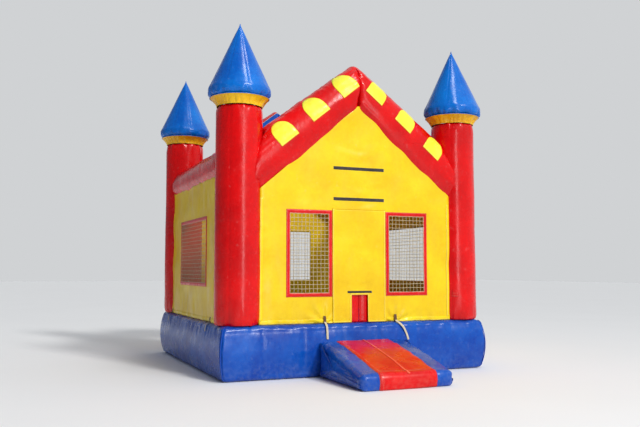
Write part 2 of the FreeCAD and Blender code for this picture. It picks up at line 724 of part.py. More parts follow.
def make_patches(side, right):
    """Arched patches on the front of one front gable tube, flat edge down the slope's middle."""
    name = f"gable_patches_{side}"
    skin = slope_skin(name, right, -1)
    half = value_of("sizes.patch_width") / 2
    base = value_of("sizes.patch_base")
    straight = value_of("sizes.patch_straight")
    depth = FreeCAD.Vector(0, -2 * value_of("sizes.gable_half_width"), 0)
    prisms = []
    for number in range(3):
        travel = f"sizes.patch_first_{side} + {number} * sizes.patch_spacing"
        origin, down, above = slope_frame(right, -1, travel)

        def spot(along, up):
            return origin + down * along + above * up

        foot = [spot(-half, base + straight), spot(-half, base), spot(half, base),
                spot(half, base + straight)]
        edges = [Part.makeLine(start, end) for start, end in zip(foot, foot[1:])]
        edges.append(Part.Arc(foot[3], spot(0, base + straight + half), foot[0]).toShape())
        prisms.append(Part.Face(Part.Wire(edges)).extrude(depth))
    tool = doc.addObject("Part::Feature", f"{name}_tool")
    tool.Shape = Part.makeCompound(prisms)
    keep(name, common(name, skin, tool))


def make_rear_stripes():
    """A stripe along the room side of both rear gable tubes."""
    stripes = []
    for side, right in (("left", -1), ("right", 1)):
        name = f"rear_gable_stripe_{side}"
        skin = slope_skin(name, right, 1)
        origin, down, above = slope_frame(right, 1, "0")
        low = value_of("sizes.stripe_low")
        high = value_of("sizes.stripe_high")
        length = value_of("sizes.stripe_length")
        lead = -value_of("sizes.gable_overrun")
        corners = [origin + down * lead + above * low, origin + down * length + above * low,
                   origin + down * length + above * high, origin + down * lead + above * high]
        face = Part.Face(Part.makePolygon(corners + corners[:1]))
        tool = doc.addObject("Part::Feature", f"{name}_tool")
        tool.Shape = face.extrude(FreeCAD.Vector(0, -2 * value_of("sizes.gable_half_width"), 0))
        stripes.append(common(name, skin, tool))
    keep("rear_gable_stripes", group("rear_stripes", stripes))


# ---------------------------------------------------------------------------------------------
# Ramp
# ---------------------------------------------------------------------------------------------

def ramp_block(name, grow, width):
    """The ramp's side profile, grown or shrunk, padded to a width."""
    front = f"({RAMP_FRONT_AT} - ({grow}))"
    back = "(-sizes.base_size / 2 + sizes.ramp_root)"
    low = f"(-({grow}))"
    top = f"(sizes.ramp_front + {grow})"
    nose = f"(sizes.ramp_nose + {grow})"
    corners = [
        (front, low),
        (back, low),
        (back, f"sizes.ramp_back + {grow}"),
        (f"{front} + {nose}", top),
        (front, f"{top} - {nose}"),
    ]
    bows = {2: ("sizes.ramp_crown", -1), 3: (nose, 1)}
    return padded(name, "YZ_Plane", width, corners, bows)


def make_ramp():
    outside = ramp_block("ramp_outside", "0", "sizes.ramp_width")
    inner_width = "(sizes.ramp_width - 2 * sizes.skin)"
    inside = ramp_block("ramp_inside", "-sizes.skin", inner_width)
    deep_cutter = mattress_block("ramp_deep_cutter", "(sizes.seam_gap + sizes.skin)")
    chamber = cut("ramp_chamber", inside, deep_cutter)
    keep("ramp", cut("ramp_whole", outside, mattress_cutter, chamber))

    webs = []
    for number, across in enumerate(("-sizes.tread_width / 2", "0", "sizes.tread_width / 2")):
        slab = box(f"ramp_web_{number}", "sizes.skin", "sizes.base_size", "sizes.base_height",
                   f"{across} - sizes.skin / 2", RAMP_FRONT_AT, "0")
        webs.append(common(f"ramp_baffle_{number}", chamber, slab))
    keep("ramp_baffles", group("ramp_webs", webs))

    over = ramp_block("tread_over", "(sizes.seam_gap + sizes.tread_thickness)", "sizes.tread_width")
    under = ramp_block("tread_under", "sizes.seam_gap", "sizes.ramp_width")
    layer = cut("tread_layer", over, under, mattress_cutter)
    clip = box("tread_clip", "sizes.ramp_width", "2 * sizes.ramp_length", "sizes.base_height",
               "-sizes.ramp_width / 2", f"{RAMP_FRONT_AT} - sizes.ramp_length / 2", "sizes.seam_gap")
    front_clip = box("tread_front_clip", "sizes.ramp_width", "sizes.ramp_length * 1.5",
                     "sizes.base_height", "-sizes.ramp_width / 2",
                     "-sizes.base_size / 2 + sizes.base_bulge - sizes.ramp_length * 1.5",
                     "sizes.seam_gap")
    keep("ramp_tread", common("ramp_tread_strip", common("tread_above", layer, clip), front_clip))


# ---------------------------------------------------------------------------------------------
# Webbing: ramp straps, side straps and hem loops
# ---------------------------------------------------------------------------------------------

def make_straps():
    wall_gap = f"({WALL_FACE} + sizes.seam_gap)"
    reach = "(sizes.base_bulge + 2 * sizes.webbing)"
    ramp_straps = []
    loops = []
    for side in ("left", "right"):
        middle = f"sizes.ramp_strap_{side}"
        left = f"{middle} - sizes.webbing_width / 2"
        bottom = "(sizes.ramp_back + 4 * sizes.seam_gap + sizes.webbing)"
        if side == "right":
            bottom = "(sizes.ramp_back - sizes.webbing_width)"
        clip = box(f"ramp_strap_{side}_clip", "sizes.webbing_width", f"{reach} + sizes.base_bulge",
                   "sizes.base_height", left, f"-{wall_gap} - {reach} - sizes.base_bulge", bottom)
        ramp_straps.append(common(f"ramp_strap_{side}", webbing_layer, clip))
        loops.append(box(f"hem_loop_{side}", "sizes.webbing_width", "2 * sizes.webbing",
                         "sizes.loop_height", f"sizes.hem_loop_{side} - sizes.webbing_width / 2",
                         f"-{WALL_FACE} - 2 * sizes.webbing",
                         "sizes.base_height + 2 * sizes.seam_gap + sizes.webbing"))
    keep("ramp_tie_straps", group("ramp_straps", ramp_straps))

    side_straps = []
    for end in ("front", "rear"):
        middle = SIDE_STRAPS[end]
        front = f"{middle} - sizes.webbing_width / 2"
        clip = box(f"side_strap_{end}_clip", f"{reach} + sizes.base_bulge", "sizes.webbing_width",
                   "sizes.base_height", f"-{wall_gap} - {reach} - sizes.base_bulge", front,
                   "sizes.base_height - sizes.side_strap_drop")
        side_straps.append(common(f"side_strap_{end}", webbing_layer, clip))
        loops.append(box(f"side_loop_{end}", "2 * sizes.webbing", "sizes.webbing_width",
                         "sizes.loop_height", f"-{WALL_FACE} - 2 * sizes.webbing", front,
                         "sizes.base_height + 2 * sizes.seam_gap + sizes.webbing"))
    keep("side_tie_straps", group("side_straps", side_straps))
    keep("hem_loops", group("loops", loops))


# ---------------------------------------------------------------------------------------------
# Anchors: a webbing tab sewn low on the mattress, with a ring that swings in its loop
# ---------------------------------------------------------------------------------------------

LOOP_RADIUS = "(sizes.ring_wire + sizes.ring_running + sizes.webbing)"
RING_OUT = f"({side_at('sizes.ring_height')} + 2 * sizes.seam_gap + {LOOP_RADIUS})"

# Each anchor: rotation about Z from the rear face, and the position of its middle.
ANCHORS = {
    "rear_left": (0, "-sizes.anchor_rear", RING_OUT),
    "rear_right": (0, "sizes.anchor_rear", RING_OUT),
    "side_front": (-90, RING_OUT, "-sizes.anchor_side"),
    "side_rear": (-90, RING_OUT, "sizes.anchor_side"),
}


def make_tab(anchor):
    turn, across, along = ANCHORS[anchor]
    name = f"anchor_tab_{anchor}"
    depth = "4 * sizes.base_bulge"
    if turn == 0:
        clip = box(f"{name}_clip", "sizes.tab_width", depth, "sizes.tab_height",
                   f"{across} - sizes.tab_width / 2", f"{along} - {depth} / 2", "sizes.ring_height")
        start = (f"{across} - sizes.tab_width / 2", along)
        rotation = TURN_TO_X
    else:
        clip = box(f"{name}_clip", depth, "sizes.tab_width", "sizes.tab_height",
                   f"{across} - {depth} / 2", f"{along} - sizes.tab_width / 2", "sizes.ring_height")
        start = (across, f"{along} - sizes.tab_width / 2")
        rotation = TURN_TO_Y
    strip = common(f"{name}_strip", webbing_layer, clip)
    wrap = cylinder(f"{name}_wrap", LOOP_RADIUS, "sizes.tab_width", *start, "sizes.ring_height", rotation)
    bore = cylinder(f"{name}_bore", "sizes.ring_wire + sizes.ring_running", "sizes.tab_width",
                    *start, "sizes.ring_height", rotation)
    return cut(f"{name}_open", fuse(f"{name}_joined", strip, wrap), bore)


def make_ring(anchor):
    """A D-shaped ring hanging from its straight bar, which lies in the tab's loop."""
    turn, across, along = ANCHORS[anchor]
    name = f"anchor_ring_{anchor}"
    turned_up = FreeCAD.Rotation(Z_AXIS, turn)
    bow = doc.addObject("Part::Torus", f"{name}_bow")
    bind(bow, Radius1="sizes.ring_radius", Radius2="sizes.ring_wire")
    bow.Angle3 = 180
    bow.Placement = FreeCAD.Placement(FreeCAD.Vector(), turned_up * FreeCAD.Rotation(X_AXIS, -90))
    place(bow, across, along, "sizes.ring_height")
    start_x = f"{across} - sizes.ring_radius" if turn == 0 else across
    start_y = along if turn == 0 else f"{along} - sizes.ring_radius"
    bar = cylinder(f"{name}_bar", "sizes.ring_wire", "2 * sizes.ring_radius", start_x, start_y,
                   "sizes.ring_height", TURN_TO_X if turn == 0 else TURN_TO_Y)
    knuckles = []
    for sign in (-1, 1):
        knuckle = doc.addObject("Part::Sphere", f"{name}_knuckle_{'left' if sign < 0 else 'right'}")
        bind(knuckle, Radius="sizes.ring_wire")
        place(knuckle, f"{across} + {sign if turn == 0 else 0} * sizes.ring_radius",
              f"{along} + {0 if turn == 0 else sign} * sizes.ring_radius", "sizes.ring_height")
        knuckles.append(knuckle)
    keep(name, fuse(f"{name}_whole", bow, bar, *knuckles))


# ---------------------------------------------------------------------------------------------
# Blower sleeve with its tie strap
# ---------------------------------------------------------------------------------------------

SLEEVE_OUTSIDE = "(sizes.sleeve_bore + sizes.sleeve_wall)"


def make_sleeve():
    root = "(sizes.base_size / 2 + sizes.seam_gap)"
    length = "(sizes.sleeve_length - sizes.seam_gap)"
    spot = ("sizes.sleeve_side", root, "sizes.sleeve_up", TURN_TO_Y)
    outside = cylinder("sleeve_outside", SLEEVE_OUTSIDE, length, *spot)
    bore = cylinder("sleeve_bore", "sizes.sleeve_bore", length, *spot)
    spot = ("sizes.sleeve_side", f"{root} - sizes.base_bulge", "sizes.sleeve_up", TURN_TO_Y)
    patch_length = "(sizes.base_bulge + sizes.sleeve_patch_thickness)"
    patch = cut(
        "sleeve_patch",
        cylinder("sleeve_patch_outside", "sizes.sleeve_patch", patch_length, *spot),
        cylinder("sleeve_patch_inside", "(sizes.sleeve_bore + 1)", patch_length, *spot),
        mattress_cutter,
    )
    keep("inflation_sleeve", fuse("sleeve", cut("sleeve_tube", outside, bore), patch))

    strap_at = "(sizes.base_size / 2 + sizes.sleeve_length - sizes.sleeve_strap_back)"
    spot = ("sizes.sleeve_side", f"{strap_at} - sizes.webbing_width", "sizes.sleeve_up",
            TURN_TO_Y)
    around = cylinder("sleeve_strap_outside", f"{SLEEVE_OUTSIDE} + sizes.seam_gap + sizes.webbing",
                      "sizes.webbing_width", *spot)
    within = cylinder("sleeve_strap_inside", f"{SLEEVE_OUTSIDE} + sizes.seam_gap",
                      "sizes.webbing_width", *spot)
    keep("sleeve_tie_strap", cut("sleeve_strap", around, within))


# ---------------------------------------------------------------------------------------------
# Deflation zipper on the rear side: tape, slider with pull, and cover flap
# ---------------------------------------------------------------------------------------------

ZIP_UP = "(sizes.base_height / 2)"
ZIP_FACE = "(sizes.base_size / 2 + sizes.seam_gap + sizes.zip_tape)"
COVER_UP = f"({ZIP_UP} + sizes.cover_above)"
COVER_AT = f"({side_at(COVER_UP)} + 2 * sizes.seam_gap + sizes.cover_hem / 2)"


def make_zipper():
    layer = cut("tape_layer", mattress_block("tape_outside", "sizes.seam_gap + sizes.zip_tape"),
                mattress_cutter)
    clip = box("tape_clip", "sizes.zip_length", "sizes.base_bulge", "sizes.zip_width",
               "sizes.zip_middle - sizes.zip_length / 2", "sizes.base_size / 2 - sizes.base_bulge / 2",
               f"{ZIP_UP} - sizes.zip_width / 2")
    keep("zipper_tape", common("tape", layer, clip))

    left = "(sizes.zip_middle - sizes.zip_length / 2 + 10)"
    front = f"({ZIP_FACE} + sizes.seam_gap)"
    slider = box("slider_body", "sizes.slider_length", "sizes.slider_depth", "sizes.slider_height",
                 left, front, f"{ZIP_UP} - sizes.slider_height / 2")
    pull = box("slider_pull", "sizes.pull_width", "sizes.pull_thickness", "sizes.pull_length",
               f"{left} + (sizes.slider_length - sizes.pull_width) / 2",
               f"{front} + sizes.slider_depth", f"{ZIP_UP} + 4 - sizes.pull_length")
    keep("zipper_slider", fuse("slider_whole", slider, pull))

    length = "(sizes.zip_length + 60)"
    left = f"(sizes.zip_middle - {length} / 2)"
    hem = cylinder("cover_hem", "sizes.cover_hem / 2", length, left, COVER_AT, COVER_UP, TURN_TO_X)
    flap = box("cover_sheet", length, "sizes.cover_thickness", "sizes.cover_drop", left,
               f"{COVER_AT} + sizes.cover_hem / 4",
               f"{COVER_UP} - sizes.cover_drop")
    keep("zipper_cover", fuse("cover_whole", hem, flap))


def make_all():
    make_mattress()
    for corner, (right, rear) in CORNERS.items():
        make_column(corner, right, rear)
        make_collar(corner, right, rear)
        make_spire(corner, right, rear)
        make_gable(corner, right, rear)
    for side, right in (("left", -1), ("right", 1)):
        make_eave(side, right)
        make_curtain(side, right)
        make_patches(side, right)
    for wall in WALLS:
        make_wall(wall)
    for window in WINDOWS:
        make_window(window)
    make_door_flap()
    make_banner_strips()
    make_rear_stripes()
    make_ramp()
    make_straps()
    keep("anchor_tabs", group("tabs", [make_tab(anchor) for anchor in ANCHORS]))
    for anchor in ANCHORS:
        make_ring(anchor)
    make_sleeve()
    make_zipper()


def check_and_export():
    failed = [item.Label for item in doc.Objects if {"Invalid", "Error"} & set(item.State)]
    if failed:
        raise RuntimeError(f"failed objects: {failed}")
    for name, thing in parts.items():
        if thing.Shape.isNull() or not thing.Shape.isValid() or not thing.Shape.Solids:
            raise RuntimeError(f"bad shape: {name}")
    os.makedirs("parts", exist_ok=True)
    for name, thing in parts.items():
        thing.Shape.exportStep(os.path.join("parts", f"{name}.step"))
        print(f"{name}: {len(thing.Shape.Solids)} solids, {thing.Shape.Volume / 1e6:.1f} litres")
    print(len(parts), "nodes")


make_all()
doc.recompute()
check_and_export()
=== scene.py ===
import json
import math

import bpy
import numpy as np
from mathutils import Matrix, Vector


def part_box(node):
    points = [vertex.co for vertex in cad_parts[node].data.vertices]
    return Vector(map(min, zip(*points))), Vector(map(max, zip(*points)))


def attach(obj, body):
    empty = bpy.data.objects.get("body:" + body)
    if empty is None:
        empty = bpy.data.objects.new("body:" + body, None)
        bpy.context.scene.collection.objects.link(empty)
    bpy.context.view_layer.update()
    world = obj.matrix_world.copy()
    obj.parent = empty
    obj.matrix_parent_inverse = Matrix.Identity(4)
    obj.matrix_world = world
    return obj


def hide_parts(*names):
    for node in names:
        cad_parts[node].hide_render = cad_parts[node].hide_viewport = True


# Looks of the inflatable bounce house. Every visible piece is a mesh made here, in the row frame:
# X to the right, the entrance towards -Y, Z up, metres.

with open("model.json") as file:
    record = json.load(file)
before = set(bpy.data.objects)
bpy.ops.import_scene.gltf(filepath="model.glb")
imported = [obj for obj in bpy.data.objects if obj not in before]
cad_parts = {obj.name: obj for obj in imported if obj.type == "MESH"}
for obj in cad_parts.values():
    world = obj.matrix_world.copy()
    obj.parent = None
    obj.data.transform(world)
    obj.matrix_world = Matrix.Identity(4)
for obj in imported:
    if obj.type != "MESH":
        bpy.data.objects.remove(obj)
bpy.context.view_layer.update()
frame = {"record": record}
SLOT = {item["node"]: item["material_slot"] for item in frame["record"]["subparts"]}

HALF = 1.98
COLUMN_AT = 1.661
COLUMN_R = 0.313
WALL_AT = 1.880
BASE_TOP = 0.700
COLUMN_TOP = 3.572
COLLAR_TOP = 3.690
RIDGE = 3.951
FOOT = 2.611
SLOPE = math.atan((RIDGE - FOOT) / COLUMN_AT)
SLOPE_RUN = COLUMN_AT / math.cos(SLOPE)
PI2 = 2 * math.pi
FRONT_LOOPS = (-0.52, 0.55)         # X of the strap loops at the front hem
SIDE_STRAPS = (-1.100, 1.390)       # Y of the straps on the left side
PATCH_HALF, PATCH_FOOT, PATCH_PITCH = 0.155, 0.020, 0.58
CLEARING = 0.0015                   # gap under a column's foot
SPIRE_TIP = 1.03                    # height of a spire over its collar
GABLE_HALF, GABLE_GROWTH = 0.310, 0.080    # half thickness at the ridge, and what it gains to the foot
CORNERS = {"front_left": (-1, -1), "front_right": (1, -1), "rear_left": (-1, 1), "rear_right": (1, 1)}


# ---------------------------------------------------------------------------------------------
# Noise and wrinkles
# ---------------------------------------------------------------------------------------------

def scramble(i, j, k, seed):
    """Numbers from 0 to 1 that look random, from whole-number cells."""
    n = (i * 73856093) ^ (j * 19349663) ^ (k * 83492791) ^ (seed * 2654435)
    n = (n ^ (n >> 13)) & 0x7FFFFFFF
    n = (n * 1103515245 + 12345) & 0x7FFFFFFF
    n = (n ^ (n >> 11)) & 0x7FFFFFFF
    n = (n * 134775813 + 1) & 0x7FFFFFFF
    return n / 0x7FFFFFFF


def noise(x, y=0.0, z=0.0, seed=0):
    """Smooth noise from -1 to 1."""
    x, y, z = np.broadcast_arrays(np.asarray(x, float), np.asarray(y, float), np.asarray(z, float))
    cells = [np.floor(c).astype(np.int64) for c in (x, y, z)]
    parts = [c - f for c, f in zip((x, y, z), cells)]
    parts = [p * p * (3 - 2 * p) for p in parts]
    total = 0
    for i in (0, 1):
        for j in (0, 1):
            for k in (0, 1):
                weight = 1
                for step, part in zip((i, j, k), parts):
                    weight = weight * (part if step else 1 - part)
                total = total + weight * scramble(cells[0] + i, cells[1] + j, cells[2] + k, seed)
    return 2 * total - 1


def puckers(along, away, size, reach, width=0.07, seed=0):
    """Short creases that run away from a seam, deepest at the seam."""
    away = np.abs(away)
    uneven = 1 + 0.55 * noise(along / (2.3 * width), 0, 0, seed + 7)
    fade = np.exp(-away / (reach * uneven))
    ridge = noise(along / width, away / (2.5 * reach), 0, seed)
    fine = noise(along / (0.42 * width), away / (1.2 * reach), 0, seed + 3)
    return size * fade * (ridge + 0.45 * fine - 0.25)


def pinch(away, depth, reach):
    """The dip where an inflated panel is drawn in to its seam."""
    return -depth * np.exp(-np.abs(away) / reach)


def smooth(value, low, high):
    t = np.clip((value - low) / (high - low), 0, 1)
    return t * t * (3 - 2 * t)


# ---------------------------------------------------------------------------------------------
# Meshes
# ---------------------------------------------------------------------------------------------

def new_object(name, verts, faces, uvs, material):
    mesh = bpy.data.meshes.new(name)
    mesh.from_pydata(np.asarray(verts, float).reshape(-1, 3).tolist(), [], [list(f) for f in faces])
    if uvs is not None:
        layer = mesh.uv_layers.new(name="UVMap")
        layer.data.foreach_set("uv", np.asarray(uvs, np.float32).ravel())
    mesh.polygons.foreach_set("use_smooth", [True] * len(mesh.polygons))
    mesh.update()
    thing = bpy.data.objects.new(name, mesh)
    bpy.context.scene.collection.objects.link(thing)
    mesh.materials.append(material)
    return thing


def grid_faces(rows, columns, wrap=False, keep=None, flip=False):
    """Faces of a grid of points and, for each face, the grid cells of its corners."""
    faces, cells = [], []
    for i in range(rows - 1):
        for j in range(columns if wrap else columns - 1):
            if keep is not None and not keep[i, j]:
                continue
            after = (j + 1) % columns
            face = [i * columns + j, i * columns + after, (i + 1) * columns + after,
                    (i + 1) * columns + j]
            cell = [(i, j), (i, j + 1), (i + 1, j + 1), (i + 1, j)]
            faces.append(face[::-1] if flip else face)
            cells.append(cell[::-1] if flip else cell)
    return faces, cells


def surface(name, points, material, wrap=False, caps=False, u=None, v=None, keep=None, flip=False):
    """A smooth surface through a grid of points; u and v are lengths along it, for the stitching."""
    rows, columns = points.shape[:2]
    faces, cells = grid_faces(rows, columns, wrap, keep, flip)
    verts = points.reshape(-1, 3)
    uvs = None
    if u is not None:
        uvs = [(u[j], v[i]) for cell in cells for i, j in cell]
    if caps:
        ends = [points[0].mean(0), points[-1].mean(0)]
        verts = np.vstack([verts, ends])
        for j in range(columns):
            after = (j + 1) % columns
            low = [rows * columns, after, j]
            last = (rows - 1) * columns
            high = [rows * columns + 1, last + j, last + after]
            faces += [low[::-1], high[::-1]] if flip else [low, high]
        if uvs is not None:
            uvs += [(0, 0)] * (6 * columns)
    if keep is not None:
        used = sorted({index for face in faces for index in face})
        renumber = {old: new for new, old in enumerate(used)}
        verts = verts[used]
        faces = [[renumber[index] for index in face] for face in faces]
    return new_object(name, verts, faces, uvs, material)


def thicken(thing, thickness, offset=-1.0):
    """Give a sheet its thickness."""
    change = thing.modifiers.new("thickness", "SOLIDIFY")
    change.thickness = thickness
    change.offset = offset
    return thing


def frames_along(path):
    """Tangents, and two normals, along a polyline."""
    path = np.asarray(path, float)
    tangent = np.gradient(path, axis=0)
    tangent /= np.linalg.norm(tangent, axis=1)[:, None] + 1e-12
    guide = np.array([0.0, 0.0, 1.0]) if abs(tangent[0][2]) < 0.8 else np.array([1.0, 0.0, 0.0])
    normals = []
    for t in tangent:
        n = guide - t * guide.dot(t)
        n /= np.linalg.norm(n) + 1e-12
        normals.append(n)
        guide = n
    normals = np.array(normals)
    return tangent, normals, np.cross(tangent, normals)


def tube_points(path, radius, sides=8):
    path = np.asarray(path, float)
    _, n, b = frames_along(path)
    radius = np.broadcast_to(np.asarray(radius, float), (len(path),))
    angle = np.linspace(0, PI2, sides, endpoint=False)
    return (path[:, None] + radius[:, None, None] * (np.cos(angle)[None, :, None] * n[:, None]
            + np.sin(angle)[None, :, None] * b[:, None]))


def tube(name, path, radius, material, sides=8):
    return surface(name, tube_points(path, radius, sides), material, wrap=True, caps=True)


def many(name, shapes, material):
    """One mesh from several point grids, each closed round and capped."""
    verts, faces, at = [], [], 0
    for points in shapes:
        rows, columns = points.shape[:2]
        part, _ = grid_faces(rows, columns, True)
        faces += [[index + at for index in face] for face in part]
        verts += [points.reshape(-1, 3), points[0].mean(0)[None], points[-1].mean(0)[None]]
        low, high, last = at + rows * columns, at + rows * columns + 1, at + (rows - 1) * columns
        for j in range(columns):
            after = (j + 1) % columns
            faces += [[low, at + after, at + j], [high, last + j, last + after]]
        at += rows * columns + 2
    return new_object(name, np.vstack(verts), faces, None, material)


def joined(name, parts, material):
    """One sheet from several open grids: points, whether to turn the faces over, and lengths u, v or None."""
    verts, faces, uvs, at = [], [], [], 0
    for points, flip, u, v in parts:
        part, cells = grid_faces(*points.shape[:2], flip=flip)
        faces += [[index + at for index in face] for face in part]
        if u is not None:
            uvs += [(u[i, j], v[i, j]) for cell in cells for i, j in cell]
        verts.append(points.reshape(-1, 3))
        at += points.shape[0] * points.shape[1]
    return thicken(new_object(name, np.vstack(verts), faces, uvs or None, material), 0.002)


def squared(value, power=0.6):
    """A sine or cosine pushed towards a rounded square."""
    return np.sign(value) * np.abs(value) ** power


def ribbon_points(path, normal, width, thickness, sides=10):
    """A flat webbing strap along a path, with rounded selvedges."""
    path = np.asarray(path, float)
    tangent, _, _ = frames_along(path)
    normal = np.broadcast_to(np.asarray(normal, float), path.shape)
    normal = normal - tangent * (normal * tangent).sum(1)[:, None]
    normal = normal / np.linalg.norm(normal, axis=1)[:, None]
    across = np.cross(tangent, normal)
    angle = np.linspace(0, PI2, sides, endpoint=False)
    a = np.sign(np.cos(angle)) * np.abs(np.cos(angle)) ** 0.35 * width / 2
    b = np.sign(np.sin(angle)) * np.abs(np.sin(angle)) ** 0.8 * thickness / 2
    return path[:, None] + a[None, :, None] * across[:, None] + b[None, :, None] * normal[:, None]


def finish_piece(thing, body, *nodes, slot=None):
    """Let a piece ride on its body and stand for its CAD nodes, which it hides."""
    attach(thing, body)
    if nodes:
        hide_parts(*nodes)
    return thing


# ---------------------------------------------------------------------------------------------
# Materials
# ---------------------------------------------------------------------------------------------

def linear(red, green, blue):
    return tuple(((c / 255 + 0.055) / 1.055) ** 2.4 if c > 10 else c / 255 / 12.92
                 for c in (red, green, blue)) + (1.0,)


class Nodes:
    """A short way to write a material's node tree."""

    def __init__(self, name):
        self.material = bpy.data.materials.new(name)
        self.material.use_nodes = True
        self.tree = self.material.node_tree
        self.shader = self.tree.nodes["Principled BSDF"]

    def add(self, kind, settings=None, **inputs):
        node = self.tree.nodes.new(kind)
        for key, value in (settings or {}).items():
            setattr(node, key, value)
        for key, value in inputs.items():
            socket = node.inputs[int(key[1:])] if key[0] == "i" and key[1:].isdigit() else node.inputs[key]
            if isinstance(value, bpy.types.NodeSocket):
                self.tree.links.new(value, socket)
            else:
                socket.default_value = value
        return node

    def math(self, operation, first, second=0.0):
        return self.add("ShaderNodeMath", {"operation": operation}, i0=first, i1=second).outputs[0]

    def mix(self, share, first, second):
        node = self.add("ShaderNodeMix", {"data_type": "RGBA"}, i0=share, i6=first, i7=second)
        return node.outputs[2]

    def range(self, value, low, high, new_low=0.0, new_high=1.0):
        return self.add("ShaderNodeMapRange", None, i0=value, i1=low, i2=high, i3=new_low,
                        i4=new_high).outputs[0]

    def noise(self, vector, scale, detail=3.0):
        return self.add("ShaderNodeTexNoise", None, Vector=vector, Scale=scale, Detail=detail).outputs[0]

    def wave(self, vector, direction, scale, distortion=0.0):
        return self.add("ShaderNodeTexWave", {"bands_direction": direction}, Vector=vector,
                        Scale=scale, Distortion=distortion).outputs["Fac"]

    def bump(self, height, strength, distance, normal=None):
        extra = {"Normal": normal} if normal is not None else {}
        return self.add("ShaderNodeBump", None, Strength=strength, Distance=distance, Height=height,
                        **extra).outputs[0]

    def set(self, **values):
        for key, value in values.items():
            socket = self.shader.inputs[key.replace("_", " ")]
            if isinstance(value, bpy.types.NodeSocket):
                self.tree.links.new(value, socket)
            else:
                socket.default_value = value


def vinyl(name, colour, shade, rough=0.3, stitched=None, dust=0.12):
    """Coated fabric: a glossy film over a fine scrim, softly creased, dusty low down."""
    n = Nodes(name)
    place = n.add("ShaderNodeTexCoord").outputs["Object"]
    broad = n.noise(place, 2.1, 4.0)
    fine = n.noise(place, 21.0, 5.0)
    tone = n.math("ADD", n.math("MULTIPLY", broad, 0.75), n.math("MULTIPLY", fine, 0.25))
    colour_now = n.mix(n.range(tone, 0.36, 0.66), linear(*shade), linear(*colour))
    height = n.add("ShaderNodeSeparateXYZ", None, Vector=place).outputs["Z"]
    low = n.range(height, 0.0, 0.32, 1.0, 0.0)
    dirt = n.math("MULTIPLY", n.math("MULTIPLY", low, n.range(fine, 0.42, 0.62)), dust)
    colour_now = n.mix(dirt, colour_now, linear(150, 140, 120))
    scuff = n.range(n.noise(place, 17.0, 8.0), 0.62, 0.76, 0.0, 0.05)
    colour_now = n.mix(scuff, colour_now, linear(235, 232, 228))
    roughness = n.range(n.noise(place, 5.5, 6.0), 0.3, 0.75, rough - 0.07, rough + 0.13)
    weave = n.math("MULTIPLY", n.wave(place, "Z", 170.0), n.wave(place, "DIAGONAL", 170.0))
    creases = n.noise(n.add("ShaderNodeMapping", None, Vector=place, Scale=(1.0, 1.0, 0.55)).outputs[0],
                      9.0, 4.0)
    normal = n.bump(weave, 0.05, 0.0006)
    normal = n.bump(creases, 0.34, 0.016, normal)
    if stitched is not None:
        uv = n.add("ShaderNodeSeparateXYZ", None, Vector=n.add("ShaderNodeTexCoord").outputs["UV"])
        dash = n.math("LESS_THAN", n.math("FRACT", n.math("MULTIPLY", uv.outputs["X"], 95.0)), 0.62)
        lines = None
        for line in stitched:
            near = n.math("LESS_THAN", n.math("ABSOLUTE", n.math("SUBTRACT", uv.outputs["Y"], line)),
                          0.0013)
            lines = near if lines is None else n.math("MAXIMUM", lines, near)
        thread = n.math("MULTIPLY", dash, lines)
        colour_now = n.mix(n.math("MULTIPLY", thread, 0.5), colour_now, linear(238, 226, 190))
        roughness = n.math("ADD", roughness, n.math("MULTIPLY", thread, 0.3))
        normal = n.bump(n.math("SUBTRACT", thread, lines), 0.5, 0.0012, normal)
    n.set(Base_Color=colour_now, Roughness=roughness, Normal=normal)
    n.set(Specular_IOR_Level=0.27, Coat_Weight=0.12, Coat_Roughness=0.15)
    return n.material


def webbing(name, colour, shade):
    """Woven strap with a herringbone rib."""
    n = Nodes(name)
    place = n.add("ShaderNodeTexCoord").outputs["Object"]
    rib = n.math("MULTIPLY", n.wave(place, "X", 120.0, 0.6), n.wave(place, "Z", 160.0, 0.6))
    tone = n.math("ADD", n.math("MULTIPLY", rib, 0.5), n.math("MULTIPLY", n.noise(place, 30.0), 0.6))
    n.set(Base_Color=n.mix(n.range(tone, 0.2, 0.8), linear(*shade), linear(*colour)),
          Roughness=n.range(n.noise(place, 60.0), 0.3, 0.7, 0.62, 0.86),
          Normal=n.bump(rib, 0.5, 0.0012))
    n.set(Sheen_Weight=0.3, Sheen_Roughness=0.5, Specular_IOR_Level=0.3)
    return n.material


def hook_tape(name):
    """Black hook-and-loop strip: a dense field of small hooks."""
    n = Nodes(name)
    place = n.add("ShaderNodeTexCoord").outputs["Object"]
    hooks = n.add("ShaderNodeTexVoronoi", None, Vector=place, Scale=420.0).outputs["Distance"]
    tone = n.range(n.noise(place, 14.0), 0.3, 0.7)
    n.set(Base_Color=n.mix(tone, linear(24, 22, 24), linear(52, 48, 48)),
          Roughness=n.range(hooks, 0.0, 0.8, 0.75, 0.95), Normal=n.bump(hooks, 0.8, 0.0015))
    n.set(Sheen_Weight=0.4, Sheen_Roughness=0.6, Specular_IOR_Level=0.25)
    return n.material


def steel(name, colour, shade):
    """Plated steel wire with dull patches and a few scratches."""
    n = Nodes(name)
    place = n.add("ShaderNodeTexCoord").outputs["Object"]
    wear = n.noise(place, 55.0, 6.0)
    scratch = n.noise(n.add("ShaderNodeMapping", None, Vector=place, Scale=(40.0, 400.0, 400.0)).outputs[0],
                      1.0, 2.0)
    n.set(Base_Color=n.mix(n.range(wear, 0.4, 0.65), linear(*shade), linear(*colour)),
          Roughness=n.range(wear, 0.3, 0.7, 0.22, 0.48), Normal=n.bump(scratch, 0.15, 0.0004))
    n.set(Metallic=1.0)
    return n.material


